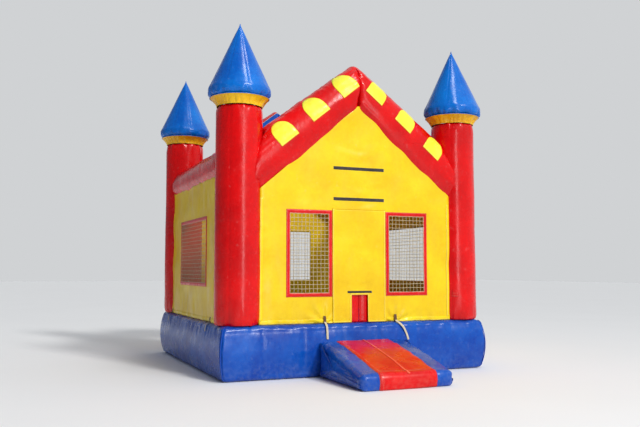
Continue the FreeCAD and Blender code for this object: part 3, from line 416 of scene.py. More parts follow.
def pale_floor():
    n = Nodes("pale_floor")
    place = n.add("ShaderNodeTexCoord").outputs["Object"]
    n.set(Base_Color=n.mix(n.noise(place, 0.4), linear(238, 239, 240), linear(242, 243, 244)),
          Roughness=0.9)
    n.set(Specular_IOR_Level=0.1)
    return n.material


MATERIALS = {
    "vinyl_blue": vinyl("vinyl_blue", (10, 88, 186), (2, 58, 156), 0.27),
    "vinyl_red": vinyl("vinyl_red", (226, 4, 6), (196, 0, 4), 0.23),
    "vinyl_gold": vinyl("vinyl_gold", (248, 200, 26), (214, 150, 6), 0.34),
    "vinyl_bright_blue": vinyl("vinyl_bright_blue", (4, 114, 208), (0, 86, 182), 0.22),
    "vinyl_yellow": vinyl("vinyl_yellow", (240, 208, 16), (228, 188, 8), 0.36),
    "vinyl_pale_yellow": vinyl("vinyl_pale_yellow", (244, 240, 72), (238, 224, 40), 0.32),
    "net_cream": webbing("net_cream", (226, 214, 178), (186, 170, 130)),
    "tape_black": hook_tape("tape_black"),
    "webbing_cream": webbing("webbing_cream", (232, 222, 196), (190, 176, 146)),
    "webbing_brown": webbing("webbing_brown", (120, 86, 56), (84, 58, 38)),
    "baffle_cloth": webbing("baffle_cloth", (204, 208, 214), (176, 180, 188)),
    "metal": steel("metal", (196, 196, 200), (128, 126, 126)),
}
STITCHED = {
    "vinyl_red": vinyl("vinyl_red_stitched", (224, 6, 8), (198, 0, 4), 0.3, (0.007, 0.048)),
    "vinyl_yellow": vinyl("vinyl_yellow_stitched", (246, 220, 24), (236, 200, 12), 0.34, (0.007, 0.011)),
    "vinyl_gold": vinyl("vinyl_gold_stitched", (246, 206, 24), (236, 188, 12), 0.34, (0.007, 0.011)),
    "vinyl_pale_yellow": vinyl("vinyl_pale_yellow_stitched", (246, 242, 76), (240, 226, 44), 0.32,
                               (0.008, 0.012)),
    "vinyl_blue": vinyl("vinyl_blue_stitched", (16, 82, 190), (8, 58, 164), 0.3, (0.007, 0.011)),
}
THREAD = webbing("thread", (240, 236, 224), (206, 200, 184))


# ---------------------------------------------------------------------------------------------
# Mattress
# ---------------------------------------------------------------------------------------------

BAFFLES = [-HALF + 2 * HALF / 7 * number for number in range(1, 7)]


def mattress_line():
    """Reach from the middle and height of the mattress's outline, from bottom to top edge."""
    points = []
    turn = np.linspace(0, 1, 9)
    for t in turn[:-1]:
        angle = math.pi / 2 * t
        points.append((1.87 + 0.085 * math.sin(angle), 0.077 * (1 - math.cos(angle))))
    for t in np.linspace(0, 1, 29)[:-1]:
        points.append((1.955 + 0.037 * math.sin(math.pi * t) ** 0.8, 0.077 + 0.546 * t))
    for t in turn:
        angle = math.pi / 2 * t
        points.append((1.87 + 0.085 * math.cos(angle), 0.623 + 0.077 * math.sin(angle)))
    return points


def floor_dip(x, y):
    """Channels across the bouncing floor, where the baffles hold it down."""
    near = np.min([np.abs(x - b) for b in BAFFLES], axis=0)
    dip = -0.024 * np.exp(-(near / 0.035) ** 2)
    dip = dip + 0.003 * noise(y / 0.05, x / 0.2, 0, 5) * np.exp(-near / 0.09)
    inside = smooth(1.90 - np.maximum(np.abs(x), np.abs(y)), 0.02, 0.16)
    return dip * inside - 0.001


def make_mattress():
    steps = np.concatenate([np.linspace(-1.9, 1.9, 153), [1.915, 1.93, 1.943, 1.955, 1.965, 1.973, 1.98]])
    steps = np.concatenate([-steps[:-8:-1], steps]) / HALF
    count = len(steps)
    ring = ([(a, -1.0) for a in steps[:-1]] + [(1.0, a) for a in steps[:-1]]
            + [(-a, 1.0) for a in steps[:-1]] + [(-1.0, -a) for a in steps[:-1]])
    ring = np.array(ring)
    line = mattress_line()
    rows = []
    for reach, z in line:
        spot = ring * reach
        corner = 0.060
        over = np.maximum(np.abs(spot) - (reach - corner), 0)
        length = np.linalg.norm(over, axis=1)
        scale = np.where(length > 1e-9, np.minimum(corner / np.maximum(length, 1e-9), 1), 1)
        spot = np.sign(spot) * (np.minimum(np.abs(spot), reach - corner) + over * scale[:, None])
        rows.append(np.column_stack([spot, np.full(len(spot), z)]))
    points = np.array(rows)
    x, y, z = points[..., 0], points[..., 1], points[..., 2]
    along = np.where(np.abs(ring[:, 1]) >= 1, x, y)
    faces_y = (np.abs(ring[:, 1]) >= 1) & (np.abs(ring[:, 0]) < 0.985)
    faces_x = (np.abs(ring[:, 0]) >= 1) & (np.abs(ring[:, 1]) < 0.985)
    near = np.min([np.abs(x - b) for b in BAFFLES], axis=0)
    tall = smooth(z, 0.0, 0.08) * smooth(0.70 - z, 0.0, 0.08)
    to_corner = HALF - np.minimum(np.abs(x), np.abs(y))
    seed = np.where(np.abs(ring[:, 1]) >= 1, np.sign(ring[:, 1]), 3 * np.sign(ring[:, 0])) * 9.7
    out = -0.004 * tall + 0.004 * noise(along / 0.45 + seed, z / 0.35, 0, 11) * tall
    out = out + np.where(faces_y, -0.009 * np.exp(-(near / 0.02) ** 2) * tall
                         + 0.0035 * np.exp(-near / 0.12) * noise(z / 0.05, along / 0.3, 0, 17) * tall, 0)
    out = out + puckers(along + seed, 0.70 - z, 0.012, 0.075, 0.075, 21) * smooth(z, 0.3, 0.45)
    out = out + puckers(along + 40 + seed, z, 0.009, 0.06, 0.08, 23) * smooth(0.4 - z, 0.0, 0.15)
    out = out + puckers(z + seed, to_corner, 0.006, 0.09, 0.08, 29) * tall
    out = np.minimum(out, 0.004)
    for axis, facing in ((0, faces_x), (1, faces_y)):
        points[..., axis] += out * np.where(facing | (np.abs(ring[:, axis]) >= 0.985), ring[:, axis], 0)
    lift = puckers(along + seed, 0.02, 0.004, 0.3, 0.09, 31)
    points[..., 2] += np.where(z > 0.66, np.minimum(lift, 0.0), 0)
    total = len(ring)
    verts = [points.reshape(-1, 3)]
    faces, _ = grid_faces(len(line), total, True)
    ring_index = {}
    for number, (a, b) in enumerate(ring):
        ring_index[(round(a, 6), round(b, 6))] = number
    at = len(line) * total
    for level, base_row in ((BASE_TOP, len(line) - 1), (0.0, 0)):
        index = np.full((count, count), -1, dtype=int)
        new = []
        for i, a in enumerate(steps):
            for j, b in enumerate(steps):
                key = (round(a, 6), round(b, 6))
                if key in ring_index:
                    index[i, j] = base_row * total + ring_index[key]
                else:
                    index[i, j] = at + len(new)
                    new.append((a * 1.87, b * 1.87, level))
        new = np.array(new)
        if level:
            new[:, 2] += floor_dip(new[:, 0], new[:, 1])
        verts.append(new)
        at += len(new)
        for i in range(count - 1):
            for j in range(count - 1):
                face = [index[i, j], index[i + 1, j], index[i + 1, j + 1], index[i, j + 1]]
                faces.append(face if level else face[::-1])
    thing = new_object("mattress_skin", np.vstack(verts), faces, None, MATERIALS["vinyl_blue"])
    finish_piece(thing, "house", "base_mattress")
    cords = []
    for right, rear in CORNERS.values():
        path = [(right * (reach - 0.0165), rear * (reach - 0.0165), z) for reach, z in line[3:-3]]
        cords.append(tube_points(np.array(path), 0.0055, 8))
    piping = many("mattress_corner_seams", cords, STITCHED["vinyl_blue"])
    finish_piece(piping, "house", slot="vinyl_blue")
    shapes = []
    for at_x in BAFFLES:
        path_y = np.linspace(-1.80, 1.80, 60)
        path = np.column_stack([at_x + 0.012 * np.sin(path_y * 9), path_y, np.full(60, 0.34)])
        shapes.append(ribbon_points(path, (1, 0, 0), 0.64, 0.004))
    baffles = many("mattress_baffles", shapes, MATERIALS["baffle_cloth"])
    finish_piece(baffles, "house", "base_baffles")


# ---------------------------------------------------------------------------------------------
# Towers
# ---------------------------------------------------------------------------------------------

def turned_points(at, radius_at, heights, sides=112):
    angle = np.linspace(0, PI2, sides, endpoint=False)
    a, z = np.meshgrid(angle, heights)
    r = radius_at(a, z)
    return np.stack([at[0] + r * np.cos(a), at[1] + r * np.sin(a), z], -1)


def make_tower(corner, right, rear, seed):
    at = (right * COLUMN_AT, rear * COLUMN_AT)

    def column_radius(a, z):
        up, down = z - BASE_TOP, COLUMN_TOP - z
        along = a * COLUMN_R
        wave = 0.0035 * noise(z / 0.5, np.cos(a) * 1.4, np.sin(a) * 1.4, seed)
        seam = np.exp(-(np.minimum(np.abs(a - 0.9), np.abs(a - 0.9 - math.pi)) * COLUMN_R / 0.009) ** 2)
        ring = np.exp(-((z - 2.02) / 0.010) ** 2)
        r = COLUMN_R + 0.001 + wave - 0.005 * seam - 0.003 * ring
        r = r + pinch(up, 0.030, 0.035) + pinch(down, 0.022, 0.03)
        r = r + puckers(along, up, 0.016, 0.15, 0.075, seed + 2)
        r = r + puckers(along + 5, down, 0.014, 0.11, 0.065, seed + 4)
        r = r + puckers(z + 3, (a - 0.9) * COLUMN_R, 0.008, 0.09, 0.05, seed + 6)
        r = r + puckers(z + 7, (a + 1.25) * COLUMN_R, 0.007, 0.09, 0.05, seed + 7)
        return np.minimum(r, COLUMN_R + 0.010)

    heights = np.concatenate([np.linspace(BASE_TOP + CLEARING, 0.76, 8), np.linspace(0.775, 1.25, 30),
                              np.linspace(1.275, 3.10, 62), np.linspace(3.12, COLUMN_TOP - 0.001, 28)])
    column = surface(f"column_skin_{corner}", turned_points(at, column_radius, heights, 128),
                     MATERIALS["vinyl_red"], wrap=True, caps=True)
    finish_piece(column, "house", f"column_{corner}")

    if corner == "front_right":
        a, z = np.meshgrid(np.linspace(-2.23, -1.942, 13), np.linspace(1.035, 1.125, 13))
        r = column_radius(a, z) + 0.0022 + 0.0007 * noise(a / 0.05, z / 0.02, 0, 5)
        points = np.stack([at[0] + r * np.cos(a), at[1] + r * np.sin(a), z], -1)
        u = (a[0] - a[0, 0]) * COLUMN_R
        patch = surface("column_repair_patch", points, STITCHED["vinyl_red"], u=u, v=z[:, 0] - 1.035)
        finish_piece(thicken(patch, 0.0015), "house", slot="vinyl_red")

    def collar_radius(a, z):
        t = (z - COLUMN_TOP) / (COLLAR_TOP - COLUMN_TOP)
        base = COLUMN_R - 0.002 + 0.086 * t ** 1.7
        ripple = noise(np.cos(a) * 5.2, np.sin(a) * 5.2, 0.4 * t, seed + 8)
        folds = 0.55 * ripple + 0.45 * np.abs(np.sin(a * 13 + 2.2 * ripple)) - 0.4
        return base + 0.019 * folds * (0.35 + np.sin(math.pi * np.clip(t, 0, 1)) ** 0.8) * 1.15

    heights = np.linspace(COLUMN_TOP + 0.0005, COLLAR_TOP - 0.0005, 26)
    collar = surface(f"collar_skin_{corner}", turned_points(at, collar_radius, heights, 208),
                     MATERIALS["vinyl_gold"], wrap=True)
    thicken(collar, 0.004)
    finish_piece(collar, "house", f"collar_{corner}")

    def spire_radius(a, z):
        up = z - COLLAR_TOP
        straight = (SPIRE_TIP - up) * 0.46
        t = np.clip(up / 0.18, 0, 1)
        rounded = 0.398 + 0.030 * np.sin(math.pi * t) - (0.398 - 0.391) * t
        r = np.where(up < 0.18, rounded, straight)
        r = r * np.where(up > 0.9, 1 - 0.10 * smooth(up, 0.9, SPIRE_TIP), 1)
        along = a * 0.4
        panel = np.abs(((a + 0.35) / (PI2 / 8)) % 1 - 0.5) * PI2 / 8
        width = np.maximum(r, 0.03) * panel
        r = r - 0.004 * np.exp(-(width / 0.010) ** 2) * smooth(up, 0.02, 0.2)
        r = r + pinch(up, 0.030, 0.022)
        blobs = np.abs(np.sin(a * 9.5 + 1.5 * noise(a * 2, 0, 0, seed + 12)))
        r = r + 0.020 * (blobs - 0.55) * np.exp(-((up - 0.05) / 0.055) ** 2)
        r = r + puckers(along + 2, up, 0.018, 0.13, 0.065, seed + 14)
        r = r + 0.002 * noise(z / 0.2, np.cos(a) * 2, np.sin(a) * 2, seed + 16) * smooth(r, 0.05, 0.2)
        return np.clip(r, 0.006, 0.421)

    heights = COLLAR_TOP + np.concatenate([np.linspace(0.001, 0.22, 34), np.linspace(0.235, 1.0, 60),
                                           [1.01, 1.02, 1.026, 1.03]])
    spire = surface(f"spire_skin_{corner}", turned_points(at, spire_radius, heights, 144),
                    MATERIALS["vinyl_bright_blue"], wrap=True, caps=True)
    finish_piece(spire, "house", f"spire_{corner}")
    angle = np.linspace(0, PI2, 121)
    cord = np.column_stack([at[0] + 0.3965 * np.cos(angle), at[1] + 0.3965 * np.sin(angle),
                            np.full(121, COLLAR_TOP)])
    welt = many(f"spire_seam_{corner}", [tube_points(cord, 0.0045, 6)], MATERIALS["vinyl_bright_blue"])
    finish_piece(welt, "house", slot="vinyl_bright_blue")


# ---------------------------------------------------------------------------------------------
# Gables and eaves
# ---------------------------------------------------------------------------------------------

def slope_half(travel):
    """Half thickness of a gable tube, growing from the ridge to the foot."""
    return GABLE_HALF + GABLE_GROWTH * travel / SLOPE_RUN


def slope_point(right, rear, travel, angle, grow=0.0):
    """A point on a gable tube: travel down from the ridge, angle 0 straight up, turning to -Y."""
    half = slope_half(travel) + grow
    above = half * np.cos(angle)
    across = (0.290 + grow) * np.sin(angle)
    x = right * (travel * math.cos(SLOPE) + above * math.sin(SLOPE))
    z = RIDGE - travel * math.sin(SLOPE) + above * math.cos(SLOPE)
    return np.stack([x, rear * COLUMN_AT - across, z], -1)


def slope_limits(right, rear, angle):
    """Where each line along a gable tube meets the mitre and the column."""
    low, high = np.full_like(angle, -0.4), np.full_like(angle, 0.8)
    for _ in range(40):
        middle = (low + high) / 2
        inside = slope_point(right, rear, middle, angle)[..., 0] * right < 0.0003
        low, high = np.where(inside, middle, low), np.where(inside, high, middle)
    start = high
    low, high = np.full_like(angle, 0.8), np.full_like(angle, SLOPE_RUN + 0.3)
    for _ in range(40):
        middle = (low + high) / 2
        spot = slope_point(right, rear, middle, angle)
        away = np.hypot(spot[..., 0] - right * COLUMN_AT, spot[..., 1] - rear * COLUMN_AT)
        outside = away > COLUMN_R - 0.004
        before = spot[..., 0] * right < COLUMN_AT
        go_on = outside & before
        low, high = np.where(go_on, middle, low), np.where(go_on, high, middle)
    return start, low


def slope_relief(right, rear, travel, angle, start, end):
    """How far the inflated gable skin stands off its plain oval."""
    seed = 40 + 3 * right + 7 * rear
    along = angle * 0.33
    from_ridge, from_foot = travel - start, end - travel
    out = -0.003 + 0.004 * noise(travel / 0.28, np.cos(angle) * 1.3, np.sin(angle) * 1.3, seed)
    out = out + pinch(from_ridge, 0.034, 0.03) + pinch(from_foot, 0.030, 0.035)
    out = out + puckers(along, from_ridge, 0.018, 0.15, 0.07, seed + 1)
    out = out + puckers(along + 9, from_foot, 0.020, 0.18, 0.075, seed + 2)
    seam = np.abs(np.abs(angle) - 0.16)
    out = out + np.where(np.cos(angle) > 0, puckers(travel, seam * 0.33, 0.013, 0.07, 0.06, seed + 3)
                         + pinch(seam * 0.33, 0.007, 0.010), 0)
    return np.minimum(out, 0.006)


def make_gable(corner, right, rear):
    angle = np.linspace(-math.pi, math.pi, 132, endpoint=False)
    start, end = slope_limits(right, rear, angle)
    share = np.concatenate([np.linspace(0, 0.08, 12), np.linspace(0.09, 0.9, 84),
                            np.linspace(0.91, 1.0, 14)])
    travel = start[None] + (end - start)[None] * share[:, None]
    grown = slope_relief(right, rear, travel, angle[None], start[None], end[None])
    points = slope_point(right, rear, travel, np.broadcast_to(angle, travel.shape), grown)
    points[..., 0] = right * np.maximum(points[..., 0] * right, 0.0003)
    gable = surface(f"gable_skin_{corner}", points, MATERIALS["vinyl_red"], wrap=True, caps=True,
                    flip=right * rear < 0)
    finish_piece(gable, "house", f"gable_{corner}")


def on_gable(right, rear, along, above, stand):
    """Points on the -Y side of a gable tube, at a distance down the slope and above the axis."""
    angle = np.arccos(np.clip(above / slope_half(along), -1, 1))
    start, end = slope_limits(right, rear, angle)
    out = slope_relief(right, rear, along, angle, start, end)
    return slope_point(right, rear, along, angle, out + stand)


def patch_points(right, middle, across, share, stand):
    """Points on an arched patch: across from -1 to 1, share 0 at its flat edge and 1 on its arch."""
    half = PATCH_HALF
    crown = 0.158 + np.sqrt(np.maximum(half ** 2 - (across * half) ** 2, 0))
    along, above = middle + across * half, PATCH_FOOT + (crown - PATCH_FOOT) * share
    return on_gable(right, -1, along, above, stand(along, above)), along, above


def make_patches(side, right):
    first = 0.155 if right < 0 else 0.245
    across = np.linspace(-1, 1, 25)
    a, b = np.meshgrid(across, np.linspace(0, 1, 22))
    puff = 0.0035 + 0.004 * np.minimum(1 - np.abs(a), 0.35) * np.minimum(np.minimum(b, 1 - b), 0.3) * 8
    rise, ones = np.linspace(0, 1, 12), np.ones(12)
    rim_a = np.concatenate([-ones, across, ones, across[::-1]])
    rim_b = np.concatenate([rise, np.ones(25), np.linspace(1, 0, 12), np.zeros(25)])
    parts, cords = [], []
    for middle in (first, first + PATCH_PITCH, first + 2 * PATCH_PITCH):
        points, along, above = patch_points(
            right, middle, a, b, lambda x, z: puff + 0.001 * noise(x / 0.05, z / 0.05, 0, 61))
        parts.append((points, right > 0, along, above - PATCH_FOOT))
        rim = patch_points(right, middle, rim_a, rim_b, lambda x, z: 0.0035)[0]
        keep = np.concatenate([[True], np.linalg.norm(np.diff(rim, axis=0), axis=1) > 1e-4])
        cords.append(tube_points(rim[keep], 0.0028, 6))
    patches = joined(f"patches_{side}", parts, STITCHED["vinyl_pale_yellow"])
    finish_piece(patches, "house", f"gable_patches_{side}")
    finish_piece(many(f"patch_edges_{side}", cords, MATERIALS["vinyl_gold"]), "house", slot="vinyl_gold")


def make_rear_stripes():
    parts, cords = [], []
    for right in (-1, 1):
        a, b = np.meshgrid(np.linspace(0.0, 1.5, 90), np.linspace(0.165, 0.262, 10))
        angle = np.arccos(np.clip(b / slope_half(a), -1, 1))
        start, _ = slope_limits(right, 1, angle)
        a = start + 0.01 + (1.5 - start - 0.01) * a / 1.5
        parts.append((on_gable(right, 1, a, b, 0.003), right > 0, None, None))
        for level in (0, -1):
            cords.append(tube_points(on_gable(right, 1, a[level], b[level], 0.004), 0.004, 6))
    finish_piece(joined("rear_stripes", parts, MATERIALS["vinyl_blue"]), "house", "rear_gable_stripes")
    finish_piece(many("rear_stripe_piping", cords, THREAD), "house", slot="webbing_cream")


def make_eave(side, right):
    """Side tube between two towers, ending on the columns and the gable tubes."""
    axis, radius = 2.833, 0.267
    angle = np.linspace(0, PI2, 112, endpoint=False)
    share = np.concatenate([np.linspace(0, 0.07, 12), np.linspace(0.08, 0.92, 84),
                            np.linspace(0.93, 1, 12)])
    x = right * COLUMN_AT + radius * np.sin(angle) * right
    reach = COLUMN_AT - np.sqrt(np.maximum((COLUMN_R - 0.003) ** 2 - (x - right * COLUMN_AT) ** 2, 0))
    inward = np.sin(angle) < 0
    reach = np.where(inward, np.minimum(reach, COLUMN_AT - 0.245), reach)
    y = -reach[None] + 2 * reach[None] * share[:, None]
    away = reach[None] - np.abs(y)
    seed = 70 + right
    out = 0.004 * noise(y / 0.3, np.cos(angle)[None] * 1.3, np.sin(angle)[None] * 1.3, seed)
    out = out + pinch(away, 0.028, 0.035) + puckers(angle[None] * radius, away, 0.012, 0.14, 0.08, seed)
    for seam in (0.5, 2.4):
        off = (angle[None] - seam) * radius
        out = out + pinch(off, 0.006, 0.010) + puckers(y, off, 0.006, 0.05, 0.08, seed + 5)
    r = radius + np.minimum(out, 0.006)
    points = np.stack([right * COLUMN_AT + r * np.sin(angle)[None] * right, y,
                       axis + r * np.cos(angle)[None]], -1)
    eave = surface(f"eave_skin_{side}", points, MATERIALS["vinyl_red"], wrap=True, caps=True,
                   flip=right < 0)
    finish_piece(eave, "house", f"eave_{side}")


# ---------------------------------------------------------------------------------------------
# Walls
# ---------------------------------------------------------------------------------------------

WINDOWS = {
    "front_left": ("front", -1.070, -0.405, 1.055, 2.225),
    "front_right": ("front", 0.405, 1.070, 1.055, 2.225),
    "rear": ("rear", -0.840, 0.840, 1.180, 2.180),
    "left": ("left", -0.840, 0.840, 1.180, 2.180),
    "right": ("right", -0.840, 0.840, 1.180, 2.180),
}
WALL_END = COLUMN_AT - math.sqrt(COLUMN_R ** 2 - (WALL_AT - COLUMN_AT) ** 2)


def wall_relief(wall, a, z):
    """How far a wall panel stands off its plane, outward."""
    a, z = np.asarray(a, float), np.asarray(z, float)
    seed = {"front": 101, "rear": 111, "left": 121, "right": 131}[wall]
    away = np.full(np.broadcast(a, z).shape, 9.0)
    for where, left, right, low, high in WINDOWS.values():
        if where == wall:
            gap = np.hypot(np.maximum(np.maximum(left - a, a - right), 0),
                           np.maximum(np.maximum(low - z, z - high), 0))
            away = np.minimum(away, gap)
    calm = 0.12 + 0.88 * smooth(away, 0.0, 0.16)
    out = 0.012 * noise(a / 0.42, z / 0.36, 0, seed) + 0.007 * noise(a / 0.14, z / 0.40, 0, seed + 1)
    out = out + puckers(a, z - BASE_TOP, 0.014, 0.16, 0.09, seed + 2)
    to_end = WALL_END - np.abs(a)
    out = out + puckers(z, to_end, 0.010, 0.14, 0.11, seed + 3) * smooth(to_end, -0.02, 0.07)
    out = out * calm
    if wall == "front":
        for loop in FRONT_LOOPS:
            dx, dz = a - loop, z - BASE_TOP
            r = np.hypot(dx, dz)
            spoke = np.sin(np.arctan2(dz, dx) * 9 + 2)
            out = out + 0.013 * spoke * np.exp(-((r - 0.12) / 0.16) ** 2) * smooth(r, 0.02, 0.1)
        middle = np.exp(-(a / 0.36) ** 2)
        out = out + 0.012 * middle * noise(a / 0.30 + z / 0.5, (z - 0.25 * np.abs(a)) / 0.085, 0, seed + 6) \
            * smooth(z, 2.2, 2.3) * smooth(3.3 - z, 0.0, 0.3)
        out = out * (1 - 0.85 * (np.abs(a) < 0.42) * (z < 2.24))
    return np.clip(out, -0.017, 0.017)


def wall_place(wall, a, z, out):
    """Points on a wall: a along it, z up, out beyond its outer face."""
    depth = WALL_AT + out
    a = np.broadcast_to(np.asarray(a, float), np.broadcast(a, z, out).shape)
    z = np.broadcast_to(np.asarray(z, float), a.shape)
    depth = np.broadcast_to(depth, a.shape)
    if wall == "front":
        return np.stack([a, -depth, z], -1)
    if wall == "rear":
        return np.stack([-a, depth, z], -1)
    if wall == "left":
        return np.stack([-depth, -a, z], -1)
    return np.stack([depth, a, z], -1)


def ordered(values, step):
    """Grid lines through given values, no further apart than a step."""
    lines = [values[0]]
    for start, end in zip(values, values[1:]):
        count = max(1, math.ceil((end - start) / step))
        lines += list(np.linspace(start, end, count + 1)[1:])
    return np.array(lines)


def wall_top(wall, a):
    """Where a wall goes in under its gable or eave tubes."""
    if wall in ("left", "right"):
        return np.full_like(a, 2.833 - math.sqrt(0.267 ** 2 - 0.219 ** 2) + 0.015)
    drop = math.sqrt(1 - (0.219 / 0.290) ** 2)
    t = np.abs(a) / math.cos(SLOPE)
    for _ in range(12):
        t = (np.abs(a) + slope_half(t) * drop * math.sin(SLOPE)) / math.cos(SLOPE)
    return RIDGE - t * math.sin(SLOPE) - slope_half(t) * drop * math.cos(SLOPE) + 0.02


def make_wall(wall):
    stops_a = {-WALL_END - 0.004, WALL_END + 0.004}
    stops_z = {BASE_TOP + 0.002, 2.30}
    holes = []
    for where, left, right, low, high in WINDOWS.values():
        if where == wall:
            holes.append((left + 0.055, right - 0.055, low + 0.055, high - 0.055))
    if wall == "front":
        holes.append((-0.370, 0.370, 0.0, 2.200))
    for left, right, low, high in holes:
        stops_a |= {left, right}
        stops_z |= {z for z in (low, high) if z > BASE_TOP}
    a_lines = ordered(sorted(stops_a), 0.026)
    z_lines = ordered(sorted(stops_z), 0.026)
    top = wall_top(wall, a_lines)
    upper = np.linspace(0, 1, 54 if wall in ("front", "rear") else 14)[1:]
    rows = [np.full(len(a_lines), z) for z in z_lines] + [2.30 + (top - 2.30) * t for t in upper]
    z = np.array(rows)
    a = np.broadcast_to(a_lines, z.shape)
    mid_a, mid_z = (a[:-1, :-1] + a[:-1, 1:]) / 2, (z[:-1, :-1] + z[1:, :-1]) / 2
    keep = np.ones(mid_a.shape, bool)
    for left, right, low, high in holes:
        keep &= ~((mid_a > left) & (mid_a < right) & (mid_z > low) & (mid_z < high))
    points = wall_place(wall, a, z, wall_relief(wall, a, z))
    slot = SLOT[f"wall_{wall}"]
    panel = surface(f"wall_panel_{wall}", points, MATERIALS[slot], keep=keep)
    thicken(panel, 0.003)
    finish_piece(panel, "house", f"wall_{wall}")
    bands = [(-WALL_END, WALL_END, BASE_TOP + 0.004, BASE_TOP + 0.060)]
    if wall == "front":
        bands = [(-WALL_END, -0.402, *bands[0][2:]), (0.402, WALL_END, *bands[0][2:])]
    for right in (-1, 1):
        edge = [right * (WALL_END - 0.045), right * (WALL_END - 0.002)]
        bands.append((min(edge), max(edge), BASE_TOP + 0.05, 2.36))
    for number, (left, right, low, high) in enumerate(bands):
        upright = high - low > right - left
        long = ordered([low, high] if upright else [left, right], 0.02)
        wide = np.linspace(left, right, 7) if upright else np.linspace(low, high, 7)
        a, z = np.meshgrid(wide, long) if upright else np.meshgrid(long, wide)
        crown = 0.0015 + 0.0035 * np.sin(np.linspace(0, math.pi, 7)) ** 0.7
        crown = crown[None, :] if upright else crown[:, None]
        ripple = 0.0012 * noise(a / 0.05, z / 0.05, 0, 151 + number)
        points = wall_place(wall, a, z, wall_relief(wall, a, z) + crown + ripple)
        u, v = (wide - wide[0], long) if upright else (long, wide - wide[0])
        if upright:
            u, v = np.array(u), np.array(v)
            strip = surface(f"wall_edge_{wall}_{number}", points.transpose(1, 0, 2),
                            STITCHED[slot], u=v, v=u, flip=True)
        else:
            strip = surface(f"wall_hem_{wall}_{number}", points, STITCHED[slot], u=u, v=v)
        thicken(strip, 0.0015)
        finish_piece(strip, "house", slot=slot)


def rectangle_ring(left, right, low, high, inset, per_side=46):
    """Points round a rectangle, counter-clockwise from outside."""
    left, right, low, high = left + inset, right - inset, low + inset, high - inset
    t = np.linspace(0, 1, per_side, endpoint=False)
    a = np.concatenate([left + (right - left) * t, np.full(per_side, right),
                        right - (right - left) * t, np.full(per_side, left)])
    z = np.concatenate([np.full(per_side, low), low + (high - low) * t,
                        np.full(per_side, high), high - (high - low) * t])
    return a, z


def make_window(window):
    wall, left, right, low, high = WINDOWS[window]
    insets = np.linspace(0, 0.055, 12)
    rows = []
    for inset in insets:
        a, z = rectangle_ring(left, right, low, high, inset)
        t = inset / 0.055
        crown = 0.0012 + 0.0065 * math.sin(math.pi * t) ** 0.6
        relief = wall_relief(wall, a, z)
        ripple = 0.0016 * noise((a + z) / 0.045, (a - z) / 0.045, inset / 0.02, 171)
        rows.append(wall_place(wall, a, z, relief + crown + ripple * math.sin(math.pi * t)))
    points = np.array(rows)
    step = np.linalg.norm(np.diff(points[6], axis=0, append=points[6][:1]), axis=1)
    along = np.concatenate([[0], np.cumsum(step)])
    border = surface(f"window_band_{window}", points, STITCHED["vinyl_red"], wrap=True, u=along,
                     v=insets)
    thicken(border, 0.002)
    finish_piece(border, "house", f"window_border_{window}")
    pitch = 0.057
    wide, tall = right - left - 0.110, high - low - 0.110
    columns, rows_ = round(wide / pitch), round(tall / pitch)
    a_lines = left + 0.055 + wide * np.arange(columns + 1) / columns
    z_lines = low + 0.055 + tall * np.arange(rows_ + 1) / rows_
    middle_a, middle_z = (left + right) / 2, (low + high) / 2

    def cord_place(a, z, lift):
        sag = -0.004 * np.cos((a - middle_a) / wide * math.pi) * np.cos((z - middle_z) / tall * math.pi)
        wander_a = 0.0022 * noise(a / 0.09, z / 0.09, 0, 181)
        wander_z = 0.0022 * noise(a / 0.09, z / 0.09, 0, 183)
        return wall_place(wall, a + wander_a, z + wander_z - 0.002 * np.cos((a - middle_a) / wide * math.pi),
                          wall_relief(wall, a, z) * 0.3 + 0.0015 + sag * 0.4 + lift)

    cords = []
    for number, a in enumerate(a_lines):
        z = np.linspace(z_lines[0], z_lines[-1], 3 * rows_ + 1)
        lift = 0.0012 * np.cos(np.arange(len(z)) / 3 * math.pi + number * math.pi)
        cords.append(tube_points(cord_place(np.full(len(z), a), z, lift), 0.0031, 5))
    for number, z in enumerate(z_lines):
        a = np.linspace(a_lines[0], a_lines[-1], 3 * columns + 1)
        lift = -0.0012 * np.cos(np.arange(len(a)) / 3 * math.pi + number * math.pi)
        cords.append(tube_points(cord_place(a, np.full(len(a), z), lift), 0.0031, 5))
    for a in a_lines[1:-1]:
        for z in z_lines[1:-1]:
            spot = cord_place(np.array([a - 0.004, a - 0.002, a, a + 0.002, a + 0.004]),
                              np.linspace(z - 0.003, z + 0.003, 5), 0.0)
            cords.append(tube_points(spot, [0.002, 0.0052, 0.0060, 0.0052, 0.002], 6))
    net = many(f"netting_{window}", cords, MATERIALS["net_cream"])
    finish_piece(net, "house", f"window_net_{window}")


# ---------------------------------------------------------------------------------------------
# Entrance
# ---------------------------------------------------------------------------------------------

FLAP_AT = -1.8879
CURTAIN_AT = -1.8689


def flap_relief(x, z):
    hang = smooth(2.25 - z, 0.0, 0.25)
    out = 0.0045 * noise(x / 0.22, z / 0.6, 0, 201) + 0.0035 * noise(x / 0.10, z / 0.3, 0, 203)
    out = out + 0.004 * noise((x + 0.3 * z) / 0.30, z / 0.085, 0, 205)
    return np.clip(out, -0.0015, 0.006) * hang


